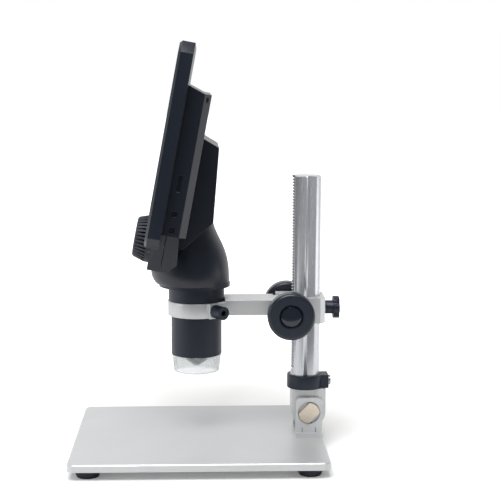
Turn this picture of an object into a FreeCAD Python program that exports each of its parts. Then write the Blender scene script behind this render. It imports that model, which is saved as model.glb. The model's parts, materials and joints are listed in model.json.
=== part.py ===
import FreeCAD, Part
import math
import os
import re

import Sketcher

# A screen microscope on a tilting post. Millimetres, +Z up, the front of the screen towards -X.
# The origin is on the floor, midway between the front edge of the base and the rear lock screw.

doc = FreeCAD.newDocument("microscope")
sheet = doc.addObject("Spreadsheet::Sheet", "sizes")
V = FreeCAD.Vector

# Driving dimensions: name, value, what it is.
SIZES = (
    ("plate_length", 171.0, "base plate, front to rear"),
    ("plate_width", 145.0, "base plate, side to side"),
    ("plate_thick", 5.0, "base plate thickness"),
    ("plate_corner", 5.0, "base plate corner radius"),
    ("plate_bevel", 0.8, "bevel round the top of the base plate"),
    ("foot_height", 6.0, "rubber foot"),
    ("foot_top_radius", 9.8, "rubber foot where it meets the plate"),
    ("foot_low_radius", 7.2, "rubber foot at the floor"),
    ("foot_inset", 12.8, "foot centre from the edges of the plate"),
    ("post_to_rear", 11.8, "post axis to the rear edge of the plate"),
    ("pivot_setback", 2.2, "hinge pivot behind the post axis"),
    ("pivot_height", 16.9, "hinge pivot above the plate"),
    ("pivot_radius", 3.5, "hinge pin"),
    ("running_gap", 0.05, "radial clearance of a running fit"),
    ("side_gap", 0.3, "clearance beside moving faces"),
    ("cheek_width", 18.6, "hinge cheek, front to rear"),
    ("cheek_rise", 10.3, "hinge cheek above the pivot"),
    ("cheek_thick", 4.0, "hinge cheek"),
    ("cheek_corner", 3.0, "radius of the cheek's top corners"),
    ("flange_thick", 3.2, "foot of the hinge bracket"),
    ("flange_reach", 3.6, "foot of the hinge bracket past the cheeks"),
    ("recess_radius", 7.8, "round recess in the cheek"),
    ("recess_depth", 1.6, "depth of that recess"),
    ("pin_head_radius", 7.2, "flatted head of the pin"),
    ("pin_head_flats", 10.0, "across the flats of the head"),
    ("pin_head_proud", 1.2, "head past the cheek's face"),
    ("nut_across", 12.0, "pivot nut across its flats"),
    ("nut_thick", 5.0, "pivot nut"),
    ("tongue_width", 23.6, "hinge tongue, front to rear"),
    ("tongue_half", 7.7, "half the thickness of the tongue"),
    ("tongue_top", 32.8, "top of the tongue above the plate"),
    ("spigot_radius", 5.0, "spigot inside the post"),
    ("spigot_length", 14.0, "spigot inside the post"),
    ("fit_gap", 0.02, "radial clearance of pieces fixed together"),
    ("post_radius", 10.0, "post"),
    ("post_top", 180.9, "top of the post above the plate"),
    ("post_bevel", 0.8, "bevel at the top of the post"),
    ("groove_width", 4.4, "long groove in the post's sides"),
    ("groove_depth", 1.1, "long groove in the post's sides"),
    ("groove_shift", 3.0, "groove centre behind the post axis"),
    ("rack_slot", 5.0, "width of the rack's slot"),
    ("rack_back", 5.2, "back of the rack from the post axis"),
    ("rack_pitch", 2.0, "tooth pitch"),
    ("rack_teeth", 66.0, "number of teeth"),
    ("rack_line", 9.15, "pitch line of the rack from the post axis"),
    ("tooth_addendum", 0.5, "tooth above the pitch line"),
    ("tooth_dedendum", 0.8, "tooth below the pitch line"),
    ("tooth_play", 0.2, "play between tooth flanks"),
    ("tooth_slope", 20.0, "flank angle in degrees"),
    ("pinion_teeth", 8.0, "teeth of the pinion"),
    ("collar_height", 9.4, "collar at the foot of the post"),
    ("collar_wall", 2.4, "collar wall"),
    ("collar_lug", 6.2, "rear lug of the collar past the post"),
    ("collar_lug_width", 12.0, "rear lug, side to side"),
    ("collar_bevel", 1.0, "bevel under the collar"),
    ("small_screw", 2.0, "radius of the small screws' shanks"),
    ("small_head", 3.4, "radius of the small screws' heads"),
    ("carriage_low", 80.3, "bottom of the carriage above the plate"),
    ("carriage_height", 17.6, "carriage block"),
    ("carriage_front", 20.2, "carriage front ahead of the post axis"),
    ("carriage_rear", 12.6, "carriage rear behind the post axis"),
    ("carriage_half", 15.0, "half the carriage's width"),
    ("carriage_corner", 3.5, "bevel of the carriage's rear corners"),
    ("pinion_rise", 7.2, "pinion axis above the carriage's bottom"),
    ("shaft_radius", 1.6, "pinion shaft"),
    ("bush_radius", 4.4, "shaft bush"),
    ("bush_length", 7.6, "shaft bush"),
    ("knob_radius", 16.0, "focus knob"),
    ("knob_length", 11.5, "focus knob"),
    ("knob_gap", 0.8, "focus knob from the carriage"),
    ("knob_cup_radius", 8.4, "hollow in the knob's face"),
    ("knob_cup_depth", 5.0, "hollow in the knob's face"),
    ("knob_round", 2.2, "rounding of the knob's rim"),
    ("knob_hub_radius", 7.0, "hub of the focus knob"),
    ("knob_hub_length", 2.5, "hub of the focus knob"),
    ("arm_height", 10.6, "arm"),
    ("arm_half", 12.4, "half the arm's width"),
    ("arm_rise", 5.5, "arm bottom above the carriage bottom"),
    ("arm_joint", 1.6, "slot between the arm and the carriage"),
    ("arm_tenon_half", 8.0, "half the arm's tenon"),
    ("arm_pocket", 2.2, "tenon let into the carriage"),
    ("ring_reach", 75.5, "ring axis ahead of the post axis"),
    ("ring_radius", 19.7, "outside of the ring"),
    ("ring_height", 10.2, "ring"),
    ("ring_rise", 4.3, "ring bottom above the carriage bottom"),
    ("ring_boss_half", 4.2, "half the flat boss on the ring"),
    ("ring_boss_reach", 22.2, "boss face from the ring's axis"),
    ("clamp_angle", 55.0, "clamp screw towards the camera side, in degrees"),
    ("clamp_head_radius", 4.5, "clamp screw head"),
    ("clamp_head_length", 9.5, "clamp screw head"),
    ("clamp_shank", 2.0, "clamp screw shank"),
    ("clamp_socket", 2.0, "hex socket, corner radius"),
    ("lock_rise", 8.9, "lock screw above the carriage's bottom"),
    ("lock_shank", 3.0, "lock screw shank"),
    ("lock_neck_radius", 4.7, "lock screw neck"),
    ("lock_neck_length", 5.5, "lock screw neck"),
    ("lock_head_radius", 7.7, "lock screw head"),
    ("lock_head_length", 4.2, "lock screw head"),
    ("lock_lobes", 6.0, "grip hollows in the lock screw's head"),
    ("thrust_gap", 0.9, "lock screw neck from the carriage"),
    ("barrel_radius", 17.4, "barrel below the ring"),
    ("barrel_low", 57.2, "bottom of the barrel above the plate"),
    ("barrel_wall", 2.0, "barrel wall"),
    ("sleeve_radius", 19.2, "barrel above the ring"),
    ("sleeve_height", 12.0, "barrel above the ring"),
    ("hood_low", 45.4, "bottom of the light hood above the plate"),
    ("hood_top_radius", 17.0, "light hood"),
    ("hood_low_radius", 15.6, "light hood"),
    ("hood_wall", 1.6, "light hood"),
    ("hood_round", 0.7, "rounded lip of the hood"),
    ("head_tilt", 10.5, "screen leans back, in degrees"),
    ("panel_ahead", 108.1, "screen's lower front edge ahead of the post axis"),
    ("panel_low", 142.3, "screen's lower front edge above the plate"),
    ("frame_half", 89.0, "half the screen frame's width"),
    ("frame_height", 129.0, "screen frame"),
    ("frame_depth", 9.5, "screen frame"),
    ("frame_corner", 7.0, "cut of the frame's corners"),
    ("frame_bevel", 1.6, "bevel round the frame's front"),
    ("shell_wall", 2.2, "moulded walls"),
    ("screen_border", 11.0, "frame beside the screen opening"),
    ("screen_low", 20.0, "screen opening above the frame's foot"),
    ("screen_height", 88.0, "screen opening"),
    ("screen_corner", 3.0, "rounded corners of the screen opening"),
    ("screen_bevel", 1.4, "bevel round the screen opening"),
    ("glass_thick", 1.0, "cover glass"),
    ("screen_lap", 3.0, "glass and screen module past the opening"),
    ("module_thick", 4.0, "screen module"),
    ("chin_half_top", 62.0, "half the control block's width at its top"),
    ("chin_half_low", 48.0, "half the control block's width at its foot"),
    ("chin_drop", 14.8, "control block below the frame"),
    ("chin_setback", 4.0, "control block behind the frame's front"),
    ("chin_rear", 22.8, "back of the control block"),
    ("chin_cut", 5.8, "bevel at the back of the control block"),
    ("box_low", 8.6, "foot of the wide rear box"),
    ("box_top", 103.6, "top of the wide rear box"),
    ("box_slope", 4.3, "fall of its top face"),
    ("box_half", 76.0, "half its width"),
    ("box_rear", 25.0, "its rear face behind the screen's front"),
    ("box_bevel", 4.2, "its rear bevel"),
    ("hump_top", 70.8, "top of the narrow rear box"),
    ("hump_slope", 4.2, "fall of its top face"),
    ("hump_half", 36.0, "half its width"),
    ("hump_rear_top", 36.3, "rear face of the narrow box at its top"),
    ("hump_rear_low", 41.4, "rear face of the narrow box at its foot"),
    ("hump_heel", 17.5, "foot of the narrow box at the rear"),
    ("hump_toe", -3.4, "foot of the narrow box at the front"),
    ("dome_low", 104.8, "foot of the dome above the plate"),
    ("dome_rim", 2.2, "rim band of the dome"),
    ("dome_rim_radius", 24.4, "dome at its foot"),
    ("dome_wall", 2.2, "dome wall"),
    ("dial_drop", 4.8, "dial axis below the frame's foot"),
    ("dial_front", 8.5, "dial face ahead of the screen's front"),
    ("dial_radius_front", 13.75, "dial at its face"),
    ("dial_radius_rear", 16.3, "dial at its foot"),
    ("dial_base_height", 3.6, "smooth ring at the dial's foot"),
    ("dial_ribs", 36.0, "grip grooves round the dial"),
    ("dial_rib_depth", 0.7, "grip grooves"),
    ("dial_rib_width", 1.3, "grip grooves"),
    ("dial_shaft_radius", 2.5, "dial shaft"),
    ("dial_recess_gap", 0.9, "round recess past the dial"),
    ("button_radius", 3.6, "front buttons"),
    ("button_proud", 1.6, "buttons past the control block"),
    ("button_length", 4.6, "buttons, front to rear"),
    ("button_travel", 0.6, "button travel"),
    ("button_first", 22.5, "nearest button from the middle"),
    ("button_step", 9.2, "from one button to the next"),
    ("button_gap", 0.35, "radial gap round a button"),
    ("button_flange", 0.9, "button flange past its cap"),
    ("button_drop", 4.8, "button axes below the frame's foot"),
    ("board_thick", 1.6, "circuit boards"),
    ("board_wide", 122.0, "main board"),
    ("board_high", 70.0, "main board"),
    ("board_lift", 20.4, "main board above the foot of the wide rear box"),
    ("cell_radius", 9.2, "battery cell"),
    ("cell_length", 50.0, "battery cell"),
    ("lamp_circle", 12.2, "lamps from the lens axis"),
    ("lens_radius", 5.0, "objective lens"),
    ("lens_thick", 4.0, "objective lens"),
    ("lens_tube_radius", 7.5, "lens tube"),
    ("lens_nose", 6.0, "taper at the foot of the lens tube"),
    ("tube_low", 60.0, "foot of the lens tube above the plate"),
    ("tube_length", 62.0, "lens tube"),
    ("sensor_board_radius", 7.6, "round sensor board"),
    ("sensor_side", 8.0, "image sensor"),
    ("chip_thick", 1.2, "image sensor"),
    ("lens_travel", 4.0, "focus travel each way"),
    ("lens_gaps", 7.0, "tooth gaps of the lens rack"),
    ("lens_rack_thick", 2.4, "lens rack behind its tooth roots"),
    ("dial_pinion_width", 4.5, "pinion on the dial's shaft"),
    ("lens_rack_width", 4.0, "lens rack along the dial's axis"),
    ("lens_arm_ahead", 11.0, "arm of the lens rack ahead of the lens axis"),
    ("cover_thick", 2.0, "back of the screen frame"),
    ("gear_clear", 0.8, "room round the lens rack in the housing"),
    ("port_ahead", 15.0, "side sockets behind the screen's front"),
    ("port_deep", 1.4, "side sockets"),
    ("card_slot_width", 2.0, "memory card slot"),
    ("card_slot_length", 10.5, "memory card slot"),
    ("card_slot_rise", 37.0, "memory card slot above the frame's foot"),
    ("jack_radius", 1.9, "round video socket"),
    ("jack_rise", 23.0, "round video socket above the frame's foot"),
    ("power_socket_width", 4.2, "power socket"),
    ("power_socket_length", 4.6, "power socket"),
    ("power_socket_rise", 10.2, "power socket above the frame's foot"),
)

# Sizes that follow from the ones above: name, formula.
DERIVED = (
    ("base_top", "foot_height + plate_thick"),
    ("lock_end", "carriage_rear + thrust_gap + lock_neck_length + lock_head_length"),
    ("post_x", "(plate_length - post_to_rear - lock_end) / 2"),
    ("plate_rear", "post_x + post_to_rear"),
    ("plate_front", "plate_rear - plate_length"),
    ("pivot_x", "post_x + pivot_setback"),
    ("pivot_z", "base_top + pivot_height"),
    ("bracket_half", "tongue_half + side_gap + cheek_thick"),
    ("tongue_z", "base_top + tongue_top"),
    ("post_z", "base_top + post_top"),
    ("rack_low", "post_z - rack_pitch * rack_teeth - rack_pitch"),
    ("pinion_radius", "rack_pitch * pinion_teeth / (2 * pi)"),
    ("pinion_x", "post_x - rack_line - pinion_radius"),
    ("carriage_z", "base_top + carriage_low"),
    ("pinion_z", "carriage_z + pinion_rise"),
    ("ring_x", "post_x - ring_reach"),
    ("ring_z", "carriage_z + ring_rise"),
    ("ring_bore", "barrel_radius + running_gap"),
    ("arm_z", "carriage_z + arm_rise"),
    ("seat_z", "ring_z + ring_height"),
    ("screen_half", "frame_half - screen_border"),
    ("barrel_z", "base_top + barrel_low"),
    ("hood_z", "base_top + hood_low"),
    ("panel_x", "post_x - panel_ahead"),
    ("panel_z", "base_top + panel_low"),
    ("dome_z", "base_top + dome_low"),
    ("lock_z", "carriage_z + lock_rise"),
    ("tube_z", "base_top + tube_low"),
    ("cell_depth", "frame_depth + 4 + cell_radius"),
    ("hump_lean", "(hump_rear_low - hump_rear_top) / (hump_top - hump_slope - hump_heel - 2 * shell_wall)"),
    ("lens_arm_low", "tube_z + tube_length - 14"),
    ("lens_arm_top", "panel_z - dial_drop - chin_rear * sin(head_tilt * 1deg) - 3"),
    ("tooth_lean", "tan(tooth_slope * 1deg)"),
    ("half_gap_tip", "(rack_pitch / 2 + tooth_play) / 2 + tooth_addendum * tooth_lean"),
    ("half_gap_root", "(rack_pitch / 2 + tooth_play) / 2 - tooth_dedendum * tooth_lean"),
)

NOT_ALIASES = ("cos", "sin", "tan", "sqrt", "atan", "deg", "pi", "min", "max")


def ref(text):
    """Turn a formula in plain names into one that reads the sheet."""
    def name(match):
        word = match.group(0)
        return word if word in NOT_ALIASES else "sizes." + word
    return re.sub(r"(?<![0-9a-z_.])[a-z][a-z_]*", name, str(text))


def size(name):
    """The value of a named size."""
    return float(sheet.get(name))


def fill_sheet():
    for row, (name, value, note) in enumerate(SIZES, start=1):
        sheet.set("A%d" % row, name)
        sheet.set("B%d" % row, str(value))
        sheet.set("C%d" % row, note)
        sheet.setAlias("B%d" % row, name)
    first = len(SIZES) + 1
    for row, (name, formula) in enumerate(DERIVED, start=first):
        sheet.set("A%d" % row, name)
        sheet.setAlias("B%d" % row, name)
        sheet.set("B%d" % row, "=" + formula)
    doc.recompute()


def bind(thing, expressions):
    for prop, text in expressions.items():
        thing.setExpression(prop, ref(text))
    return thing


def place(thing, at, axis="Z"):
    """Put a thing at a bound point, its own Z along the named axis."""
    turns = {"Z": (V(0, 0, 1), 0), "X": (V(0, 1, 0), 90), "-X": (V(0, 1, 0), -90),
             "Y": (V(1, 0, 0), -90), "-Y": (V(1, 0, 0), 90)}
    spin_axis, angle = turns[axis]
    thing.Placement = FreeCAD.Placement(V(0, 0, 0), FreeCAD.Rotation(spin_axis, angle))
    for letter, text in zip("xyz", at):
        thing.setExpression("Placement.Base." + letter, ref(text))
    return thing


def cylinder(name, radius, length, at, axis="Z"):
    rod = bind(doc.addObject("Part::Cylinder", name), {"Radius": radius, "Height": length})
    return place(rod, at, axis)


def cone(name, low_radius, top_radius, length, at, axis="Z"):
    part = doc.addObject("Part::Cone", name)
    bind(part, {"Radius1": low_radius, "Radius2": top_radius, "Height": length})
    return place(part, at, axis)


def box(name, sides, at):
    part = doc.addObject("Part::Box", name)
    bind(part, dict(zip(("Length", "Width", "Height"), sides)))
    return place(part, at)


def cut(name, base, tools):
    """Take one or more tools out of a base."""
    for number, tool in enumerate(tools):
        step = doc.addObject("Part::Cut", name if number == len(tools) - 1 else name + "_cut")
        step.Base = base
        step.Tool = tool
        base = step
    return base


def fuse(name, pieces):
    union = doc.addObject("Part::MultiFuse", name)
    union.Shapes = pieces
    union.Refine = True
    return union


def common(name, one, other):
    both = doc.addObject("Part::MultiCommon", name)
    both.Shapes = [one, other]
    return both


def group(name, pieces):
    """Several separate solids in one node."""
    compound = doc.addObject("Part::Compound", name)
    compound.Links = pieces
    return compound


def origin_plane(body, role):
    return next(item for item in body.Origin.OriginFeatures if item.Role == role)


def new_sketch(body, name, plane, offset=None):
    sketch = body.newObject("Sketcher::SketchObject", name)
    sketch.AttachmentSupport = [(origin_plane(body, plane), "")]
    sketch.MapMode = "FlatFace"
    if offset is not None:
        sketch.setExpression("AttachmentOffset.Base.z", ref(offset))
    return sketch


def pin_point(sketch, geometry, point, corner):
    """Hold one point of a sketch at a bound place."""
    for kind, text in zip(("DistanceX", "DistanceY"), corner):
        number = sketch.addConstraint(Sketcher.Constraint(kind, -1, 1, geometry, point, 1.0))
        sketch.setExpression("Constraints[%d]" % number, ref(text))


def polygon(body, name, plane, corners, offset=None):
    """A closed outline whose corners are bound to the sheet."""
    sketch = new_sketch(body, name, plane, offset)
    count = len(corners)
    start = [V(10 * math.cos(2 * math.pi * i / count), 10 * math.sin(2 * math.pi * i / count), 0)
             for i in range(count)]
    for i in range(count):
        sketch.addGeometry(Part.LineSegment(start[i], start[(i + 1) % count]), False)
    for i in range(count):
        sketch.addConstraint(Sketcher.Constraint("Coincident", i, 2, (i + 1) % count, 1))
    for i, corner in enumerate(corners):
        pin_point(sketch, i, 1, corner)
    return sketch


def rectangle(body, name, plane, low, high, offset=None):
    (left, foot), (right, top) = low, high
    return polygon(body, name, plane, ((left, foot), (right, foot), (right, top), (left, top)), offset)


def circles(body, name, plane, rounds, offset=None):
    """Circles given as (across, up, radius)."""
    sketch = new_sketch(body, name, plane, offset)
    for number, (across, up, radius) in enumerate(rounds):
        sketch.addGeometry(Part.Circle(V(7.0 * number, 0, 0), V(0, 0, 1), 2.0), False)
        pin_point(sketch, number, 3, (across, up))
        held = sketch.addConstraint(Sketcher.Constraint("Radius", number, 2.0))
        sketch.setExpression("Constraints[%d]" % held, ref(radius))
    return sketch


def feature(body, kind, name, sketch, expressions, flags=None):
    """Add a sketch-based feature and return it after a recompute."""
    made = body.newObject("PartDesign::" + kind, name)
    made.Profile = sketch
    for flag, value in (flags or {}).items():
        setattr(made, flag, value)
    bind(made, expressions)
    body.Tip = made
    doc.recompute()
    return made


def edges_where(thing, test):
    return ["Edge%d" % (i + 1) for i, edge in enumerate(thing.Shape.Edges) if test(edge)]


def runs_along(edge, axis):
    """True for a straight edge along an axis."""
    if edge.Curve.TypeId != "Part::GeomLine":
        return False
    return abs(abs(edge.Curve.Direction.dot(axis)) - 1) < 1e-6


def dress(body, kind, name, base, edges, prop, text):
    made = body.newObject("PartDesign::" + kind, name)
    made.Base = (base, edges)
    made.setExpression(prop, ref(text))
    body.Tip = made
    doc.recompute()
    return made


def new_body(name):
    return doc.addObject("PartDesign::Body", name)


def head_place(thing):
    """Stand a piece drawn in the screen's own frame on the lean of the head."""
    spot = FreeCAD.Placement(V(0, 0, 0), FreeCAD.Rotation(V(0, 1, 0), size("head_tilt")))
    thing.Placement = spot
    bind(thing, {"Placement.Base.x": "panel_x", "Placement.Base.z": "panel_z"})
    return thing


fill_sheet()
nodes = []


def keep(name, thing):
    thing.Label = name
    nodes.append(thing)
    return thing


# Base plate
def base_plate():
    body = new_body("base_plate")
    outline = rectangle(body, "plate_outline", "XY_Plane", ("plate_front", "-plate_width / 2"),
                        ("plate_rear", "plate_width / 2"), "foot_height")
    slab = feature(body, "Pad", "plate_slab", outline, {"Length": "plate_thick"})
    corners = edges_where(slab, lambda edge: runs_along(edge, V(0, 0, 1)))
    slab = dress(body, "Fillet", "plate_corners", slab, corners, "Radius", "plate_corner")
    top = size("base_top")
    rim = edges_where(slab, lambda edge: edge.BoundBox.ZMin > top - 1e-3)
    slab = dress(body, "Chamfer", "plate_rim", slab, rim, "Size", "plate_bevel")
    holes = circles(body, "plate_holes", "XY_Plane",
                    [("pivot_x + (%s)" % x, y, "small_screw + fit_gap") for x, y in bracket_holes()])
    feature(body, "Pocket", "plate_hole_cut", holes, {"Length": "base_top + 1"}, {"Reversed": True})
    sinks = circles(body, "plate_sinks", "XY_Plane",
                    [("pivot_x + (%s)" % x, y, "small_head + side_gap") for x, y in bracket_holes()])
    feature(body, "Pocket", "plate_sink_cut", sinks, {"Length": "foot_height + plate_thick / 2"},
            {"Reversed": True})
    return keep("base_plate", body)


def bracket_holes():
    """Screw places under the hinge bracket, from its middle."""
    across = "(tongue_half + side_gap + cheek_thick / 2)"
    return [(x, side + across) for x in ("cheek_width / 4", "-cheek_width / 4") for side in ("", "-")]


# Four rubber feet
def feet():
    for end, x in (("front", "plate_front + foot_inset"), ("rear", "plate_rear - foot_inset")):
        for side, y in (("near", "-plate_width / 2 + foot_inset"), ("far", "plate_width / 2 - foot_inset")):
            foot = cone("foot_%s_%s" % (end, side), "foot_low_radius", "foot_top_radius", "foot_height",
                        (x, y, "0"))
            keep("foot_%s_%s" % (end, side), foot)


# Hinge bracket: two cheeks on one foot, with a round recess for the pin's head
def hinge_bracket():
    body = new_body("hinge_bracket")
    side = rectangle(body, "cheek_side", "XZ_Plane", ("pivot_x - cheek_width / 2", "base_top"),
                     ("pivot_x + cheek_width / 2", "pivot_z + cheek_rise"))
    block = feature(body, "Pad", "cheek_block", side, {"Length": "2 * bracket_half"}, {"Midplane": True})
    high = size("pivot_z") + size("cheek_rise")
    tops = edges_where(block, lambda edge: runs_along(edge, V(0, 1, 0)) and edge.BoundBox.ZMin > high - 1e-3)
    dress(body, "Fillet", "cheek_tops", block, tops, "Radius", "cheek_corner")
    gap = rectangle(body, "tongue_gap", "YZ_Plane", ("-tongue_half - side_gap", "base_top + flange_thick"),
                    ("tongue_half + side_gap", "pivot_z + cheek_rise + 1"), "pivot_x - cheek_width")
    feature(body, "Pocket", "tongue_gap_cut", gap, {"Length": "2 * cheek_width"}, {"Reversed": True})
    foot = rectangle(body, "bracket_foot", "XY_Plane",
                     ("pivot_x - cheek_width / 2", "-bracket_half - flange_reach"),
                     ("pivot_x + cheek_width / 2", "bracket_half + flange_reach"), "base_top")
    feature(body, "Pad", "bracket_foot_pad", foot, {"Length": "flange_thick"})
    bore = circles(body, "pivot_bore", "XZ_Plane", [("pivot_x", "pivot_z", "pivot_radius + fit_gap")])
    feature(body, "Pocket", "pivot_bore_cut", bore, {"Length": "3 * bracket_half"}, {"Midplane": True})
    dish = circles(body, "pin_dish", "XZ_Plane", [("pivot_x", "pivot_z", "recess_radius")],
                   "bracket_half - recess_depth")
    feature(body, "Pocket", "pin_dish_cut", dish, {"Length": "recess_depth + 1"}, {"Reversed": True})
    taps = circles(body, "bracket_taps", "XY_Plane",
                   [("pivot_x + (%s)" % x, y, "small_screw + fit_gap") for x, y in bracket_holes()], "base_top")
    feature(body, "Pocket", "bracket_tap_cut", taps, {"Length": "2 * flange_thick"}, {"Reversed": True})
    return keep("hinge_bracket", body)


def bracket_screws():
    made = []
    for number, (x, y) in enumerate(bracket_holes()):
        at = ("pivot_x + (%s)" % x, y)
        shank = cylinder("bracket_shank_%d" % number, "small_screw", "plate_thick / 2 + 2 * flange_thick - 0.5",
                         at + ("foot_height + plate_thick / 2",))
        head = cylinder("bracket_head_%d" % number, "small_head", "plate_thick / 2 - 0.4",
                        at + ("foot_height + 0.4",))
        made.append(fuse("bracket_screw_%d" % number, [shank, head]))
    return keep("bracket_screws", group("bracket_screws", made))


# Pivot pin with a two-flat head, and its nut on the far side
def pivot_pin():
    shank = cylinder("pin_shank", "pivot_radius", "2 * bracket_half - recess_depth + nut_thick",
                     ("pivot_x", "-bracket_half + recess_depth", "pivot_z"), "Y")
    disc = cylinder("pin_disc", "pin_head_radius", "recess_depth + pin_head_proud",
                    ("0", "0", "-recess_depth - pin_head_proud"))
    flats = box("pin_flats", ("3 * pin_head_radius", "pin_head_flats", "2 * (recess_depth + pin_head_proud)"),
                ("-1.5 * pin_head_radius", "-pin_head_flats / 2", "-1.5 * (recess_depth + pin_head_proud)"))
    head = common("pin_head", disc, flats)
    head.Placement = FreeCAD.Placement(V(0, 0, 0), FreeCAD.Rotation(V(1, 0, 0), -90).multiply(
        FreeCAD.Rotation(V(0, 0, 1), -45)))
    bind(head, {"Placement.Base.x": "pivot_x", "Placement.Base.y": "-bracket_half + recess_depth",
                "Placement.Base.z": "pivot_z"})
    return keep("pivot_pin", fuse("pivot_pin", [shank, head]))


def pivot_nut():
    block = doc.addObject("Part::Prism", "nut_block")
    block.Polygon = 6
    bind(block, {"Circumradius": "nut_across / 2 / cos(30 * 1deg)", "Height": "nut_thick"})
    place(block, ("pivot_x", "bracket_half", "pivot_z"), "Y")
    hole = cylinder("nut_hole", "pivot_radius + fit_gap", "nut_thick + 2",
                    ("pivot_x", "bracket_half - 1", "pivot_z"), "Y")
    return keep("pivot_nut", cut("pivot_nut", block, [hole]))


# Hinge tongue with a round foot and a spigot for the post
def hinge_tongue():
    body = new_body("hinge_tongue")
    side = rectangle(body, "tongue_side", "XZ_Plane", ("pivot_x - tongue_width / 2", "pivot_z"),
                     ("pivot_x + tongue_width / 2", "tongue_z"))
    feature(body, "Pad", "tongue_block", side, {"Length": "2 * tongue_half"}, {"Midplane": True})
    foot = circles(body, "tongue_foot", "XZ_Plane", [("pivot_x", "pivot_z", "tongue_width / 2")])
    feature(body, "Pad", "tongue_round", foot, {"Length": "2 * tongue_half"}, {"Midplane": True})
    bore = circles(body, "tongue_bore", "XZ_Plane", [("pivot_x", "pivot_z", "pivot_radius + running_gap")])
    feature(body, "Pocket", "tongue_bore_cut", bore, {"Length": "3 * tongue_half"}, {"Midplane": True})
    stub = circles(body, "spigot", "XY_Plane", [("post_x", "0", "spigot_radius")], "tongue_z")
    feature(body, "Pad", "spigot_pad", stub, {"Length": "spigot_length"})
    return keep("hinge_tongue", body)


# Post: a rod with a slot for the rack and a long groove in each side
def post_column():
    body = new_body("post_column")
    rod = circles(body, "rod_round", "XY_Plane", [("post_x", "0", "post_radius")], "tongue_z")
    bar = feature(body, "Pad", "rod", rod, {"Length": "post_z - tongue_z"})
    top = size("post_z")
    rim = edges_where(bar, lambda edge: edge.BoundBox.ZMin > top - 1e-3)
    dress(body, "Chamfer", "rod_bevel", bar, rim, "Size", "post_bevel")
    hole = circles(body, "spigot_hole", "XY_Plane", [("post_x", "0", "spigot_radius + fit_gap")], "tongue_z")
    feature(body, "Pocket", "spigot_hole_cut", hole, {"Length": "spigot_length + 1"}, {"Reversed": True})
    slot = rectangle(body, "rack_slot", "XY_Plane", ("post_x - 2 * post_radius", "-rack_slot / 2"),
                     ("post_x - rack_back", "rack_slot / 2"), "rack_low")
    feature(body, "Pocket", "rack_slot_cut", slot, {"Length": "post_top"}, {"Reversed": True})
    for side, sign in (("near", "-"), ("far", "")):
        groove = rectangle(
            body, "groove_" + side, "XY_Plane",
            ("post_x + groove_shift - groove_width / 2", sign + "(post_radius - groove_depth)"),
            ("post_x + groove_shift + groove_width / 2", sign + "2 * post_radius"), "tongue_z")
        feature(body, "Pocket", "groove_cut_" + side, groove, {"Length": "post_top"}, {"Reversed": True})
    return keep("post_column", body)


# Steel rack: a strip with straight-sided teeth, cut by one gap repeated along it
def post_rack():
    body = new_body("post_rack")
    tip = "post_x - rack_line - tooth_addendum"
    strip = rectangle(body, "rack_strip", "XZ_Plane", (tip, "rack_low"), ("post_x - rack_back", "post_z"))
    bar = feature(body, "Pad", "rack_bar", strip, {"Length": "rack_slot - 2 * fit_gap"}, {"Midplane": True})
    gap_z = "rack_low + rack_pitch"
    gap = polygon(body, "tooth_gap", "XZ_Plane", (
        (tip + " - 0.2", "%s - half_gap_tip - 0.2 * tooth_lean" % gap_z),
        ("post_x - rack_line + tooth_dedendum", "%s - half_gap_root" % gap_z),
        ("post_x - rack_line + tooth_dedendum", "%s + half_gap_root" % gap_z),
        (tip + " - 0.2", "%s + half_gap_tip + 0.2 * tooth_lean" % gap_z)))
    tooth = feature(body, "Pocket", "tooth_gap_cut", gap, {"Length": "2 * rack_slot"}, {"Midplane": True})
    row = body.newObject("PartDesign::LinearPattern", "tooth_row")
    row.Originals = [tooth]
    row.Direction = (origin_plane(body, "Z_Axis"), [""])
    bind(row, {"Length": "rack_pitch * (rack_teeth - 1)", "Occurrences": "rack_teeth"})
    body.Tip = row
    doc.recompute()
    return keep("post_rack", body)


def collar():
    around = cylinder("collar_round", "post_radius + collar_wall", "collar_height", ("post_x", "0", "tongue_z"))
    lug = box("collar_lug", ("post_radius + collar_lug", "collar_lug_width", "collar_height"),
              ("post_x", "-collar_lug_width / 2", "tongue_z"))
    both = fuse("collar_outer", [around, lug])
    bore = cylinder("collar_bore", "post_radius + fit_gap", "collar_height + 2", ("post_x", "0", "tongue_z - 1"))
    hole = cylinder("collar_hole", "small_screw + fit_gap", "collar_lug + post_radius + 2",
                    ("post_x + post_radius / 2", "0", "tongue_z + collar_height / 2"), "X")
    keep("post_collar", cut("post_collar", both, [bore, hole]))
    shank = cylinder("collar_screw_shank", "small_screw", "collar_lug",
                     ("post_x + post_radius", "0", "tongue_z + collar_height / 2"), "X")
    head = cylinder("collar_screw_head", "small_head", "1.6",
                    ("post_x + post_radius + collar_lug", "0", "tongue_z + collar_height / 2"), "X")
    keep("collar_screw", fuse("collar_screw", [shank, head]))


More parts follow.
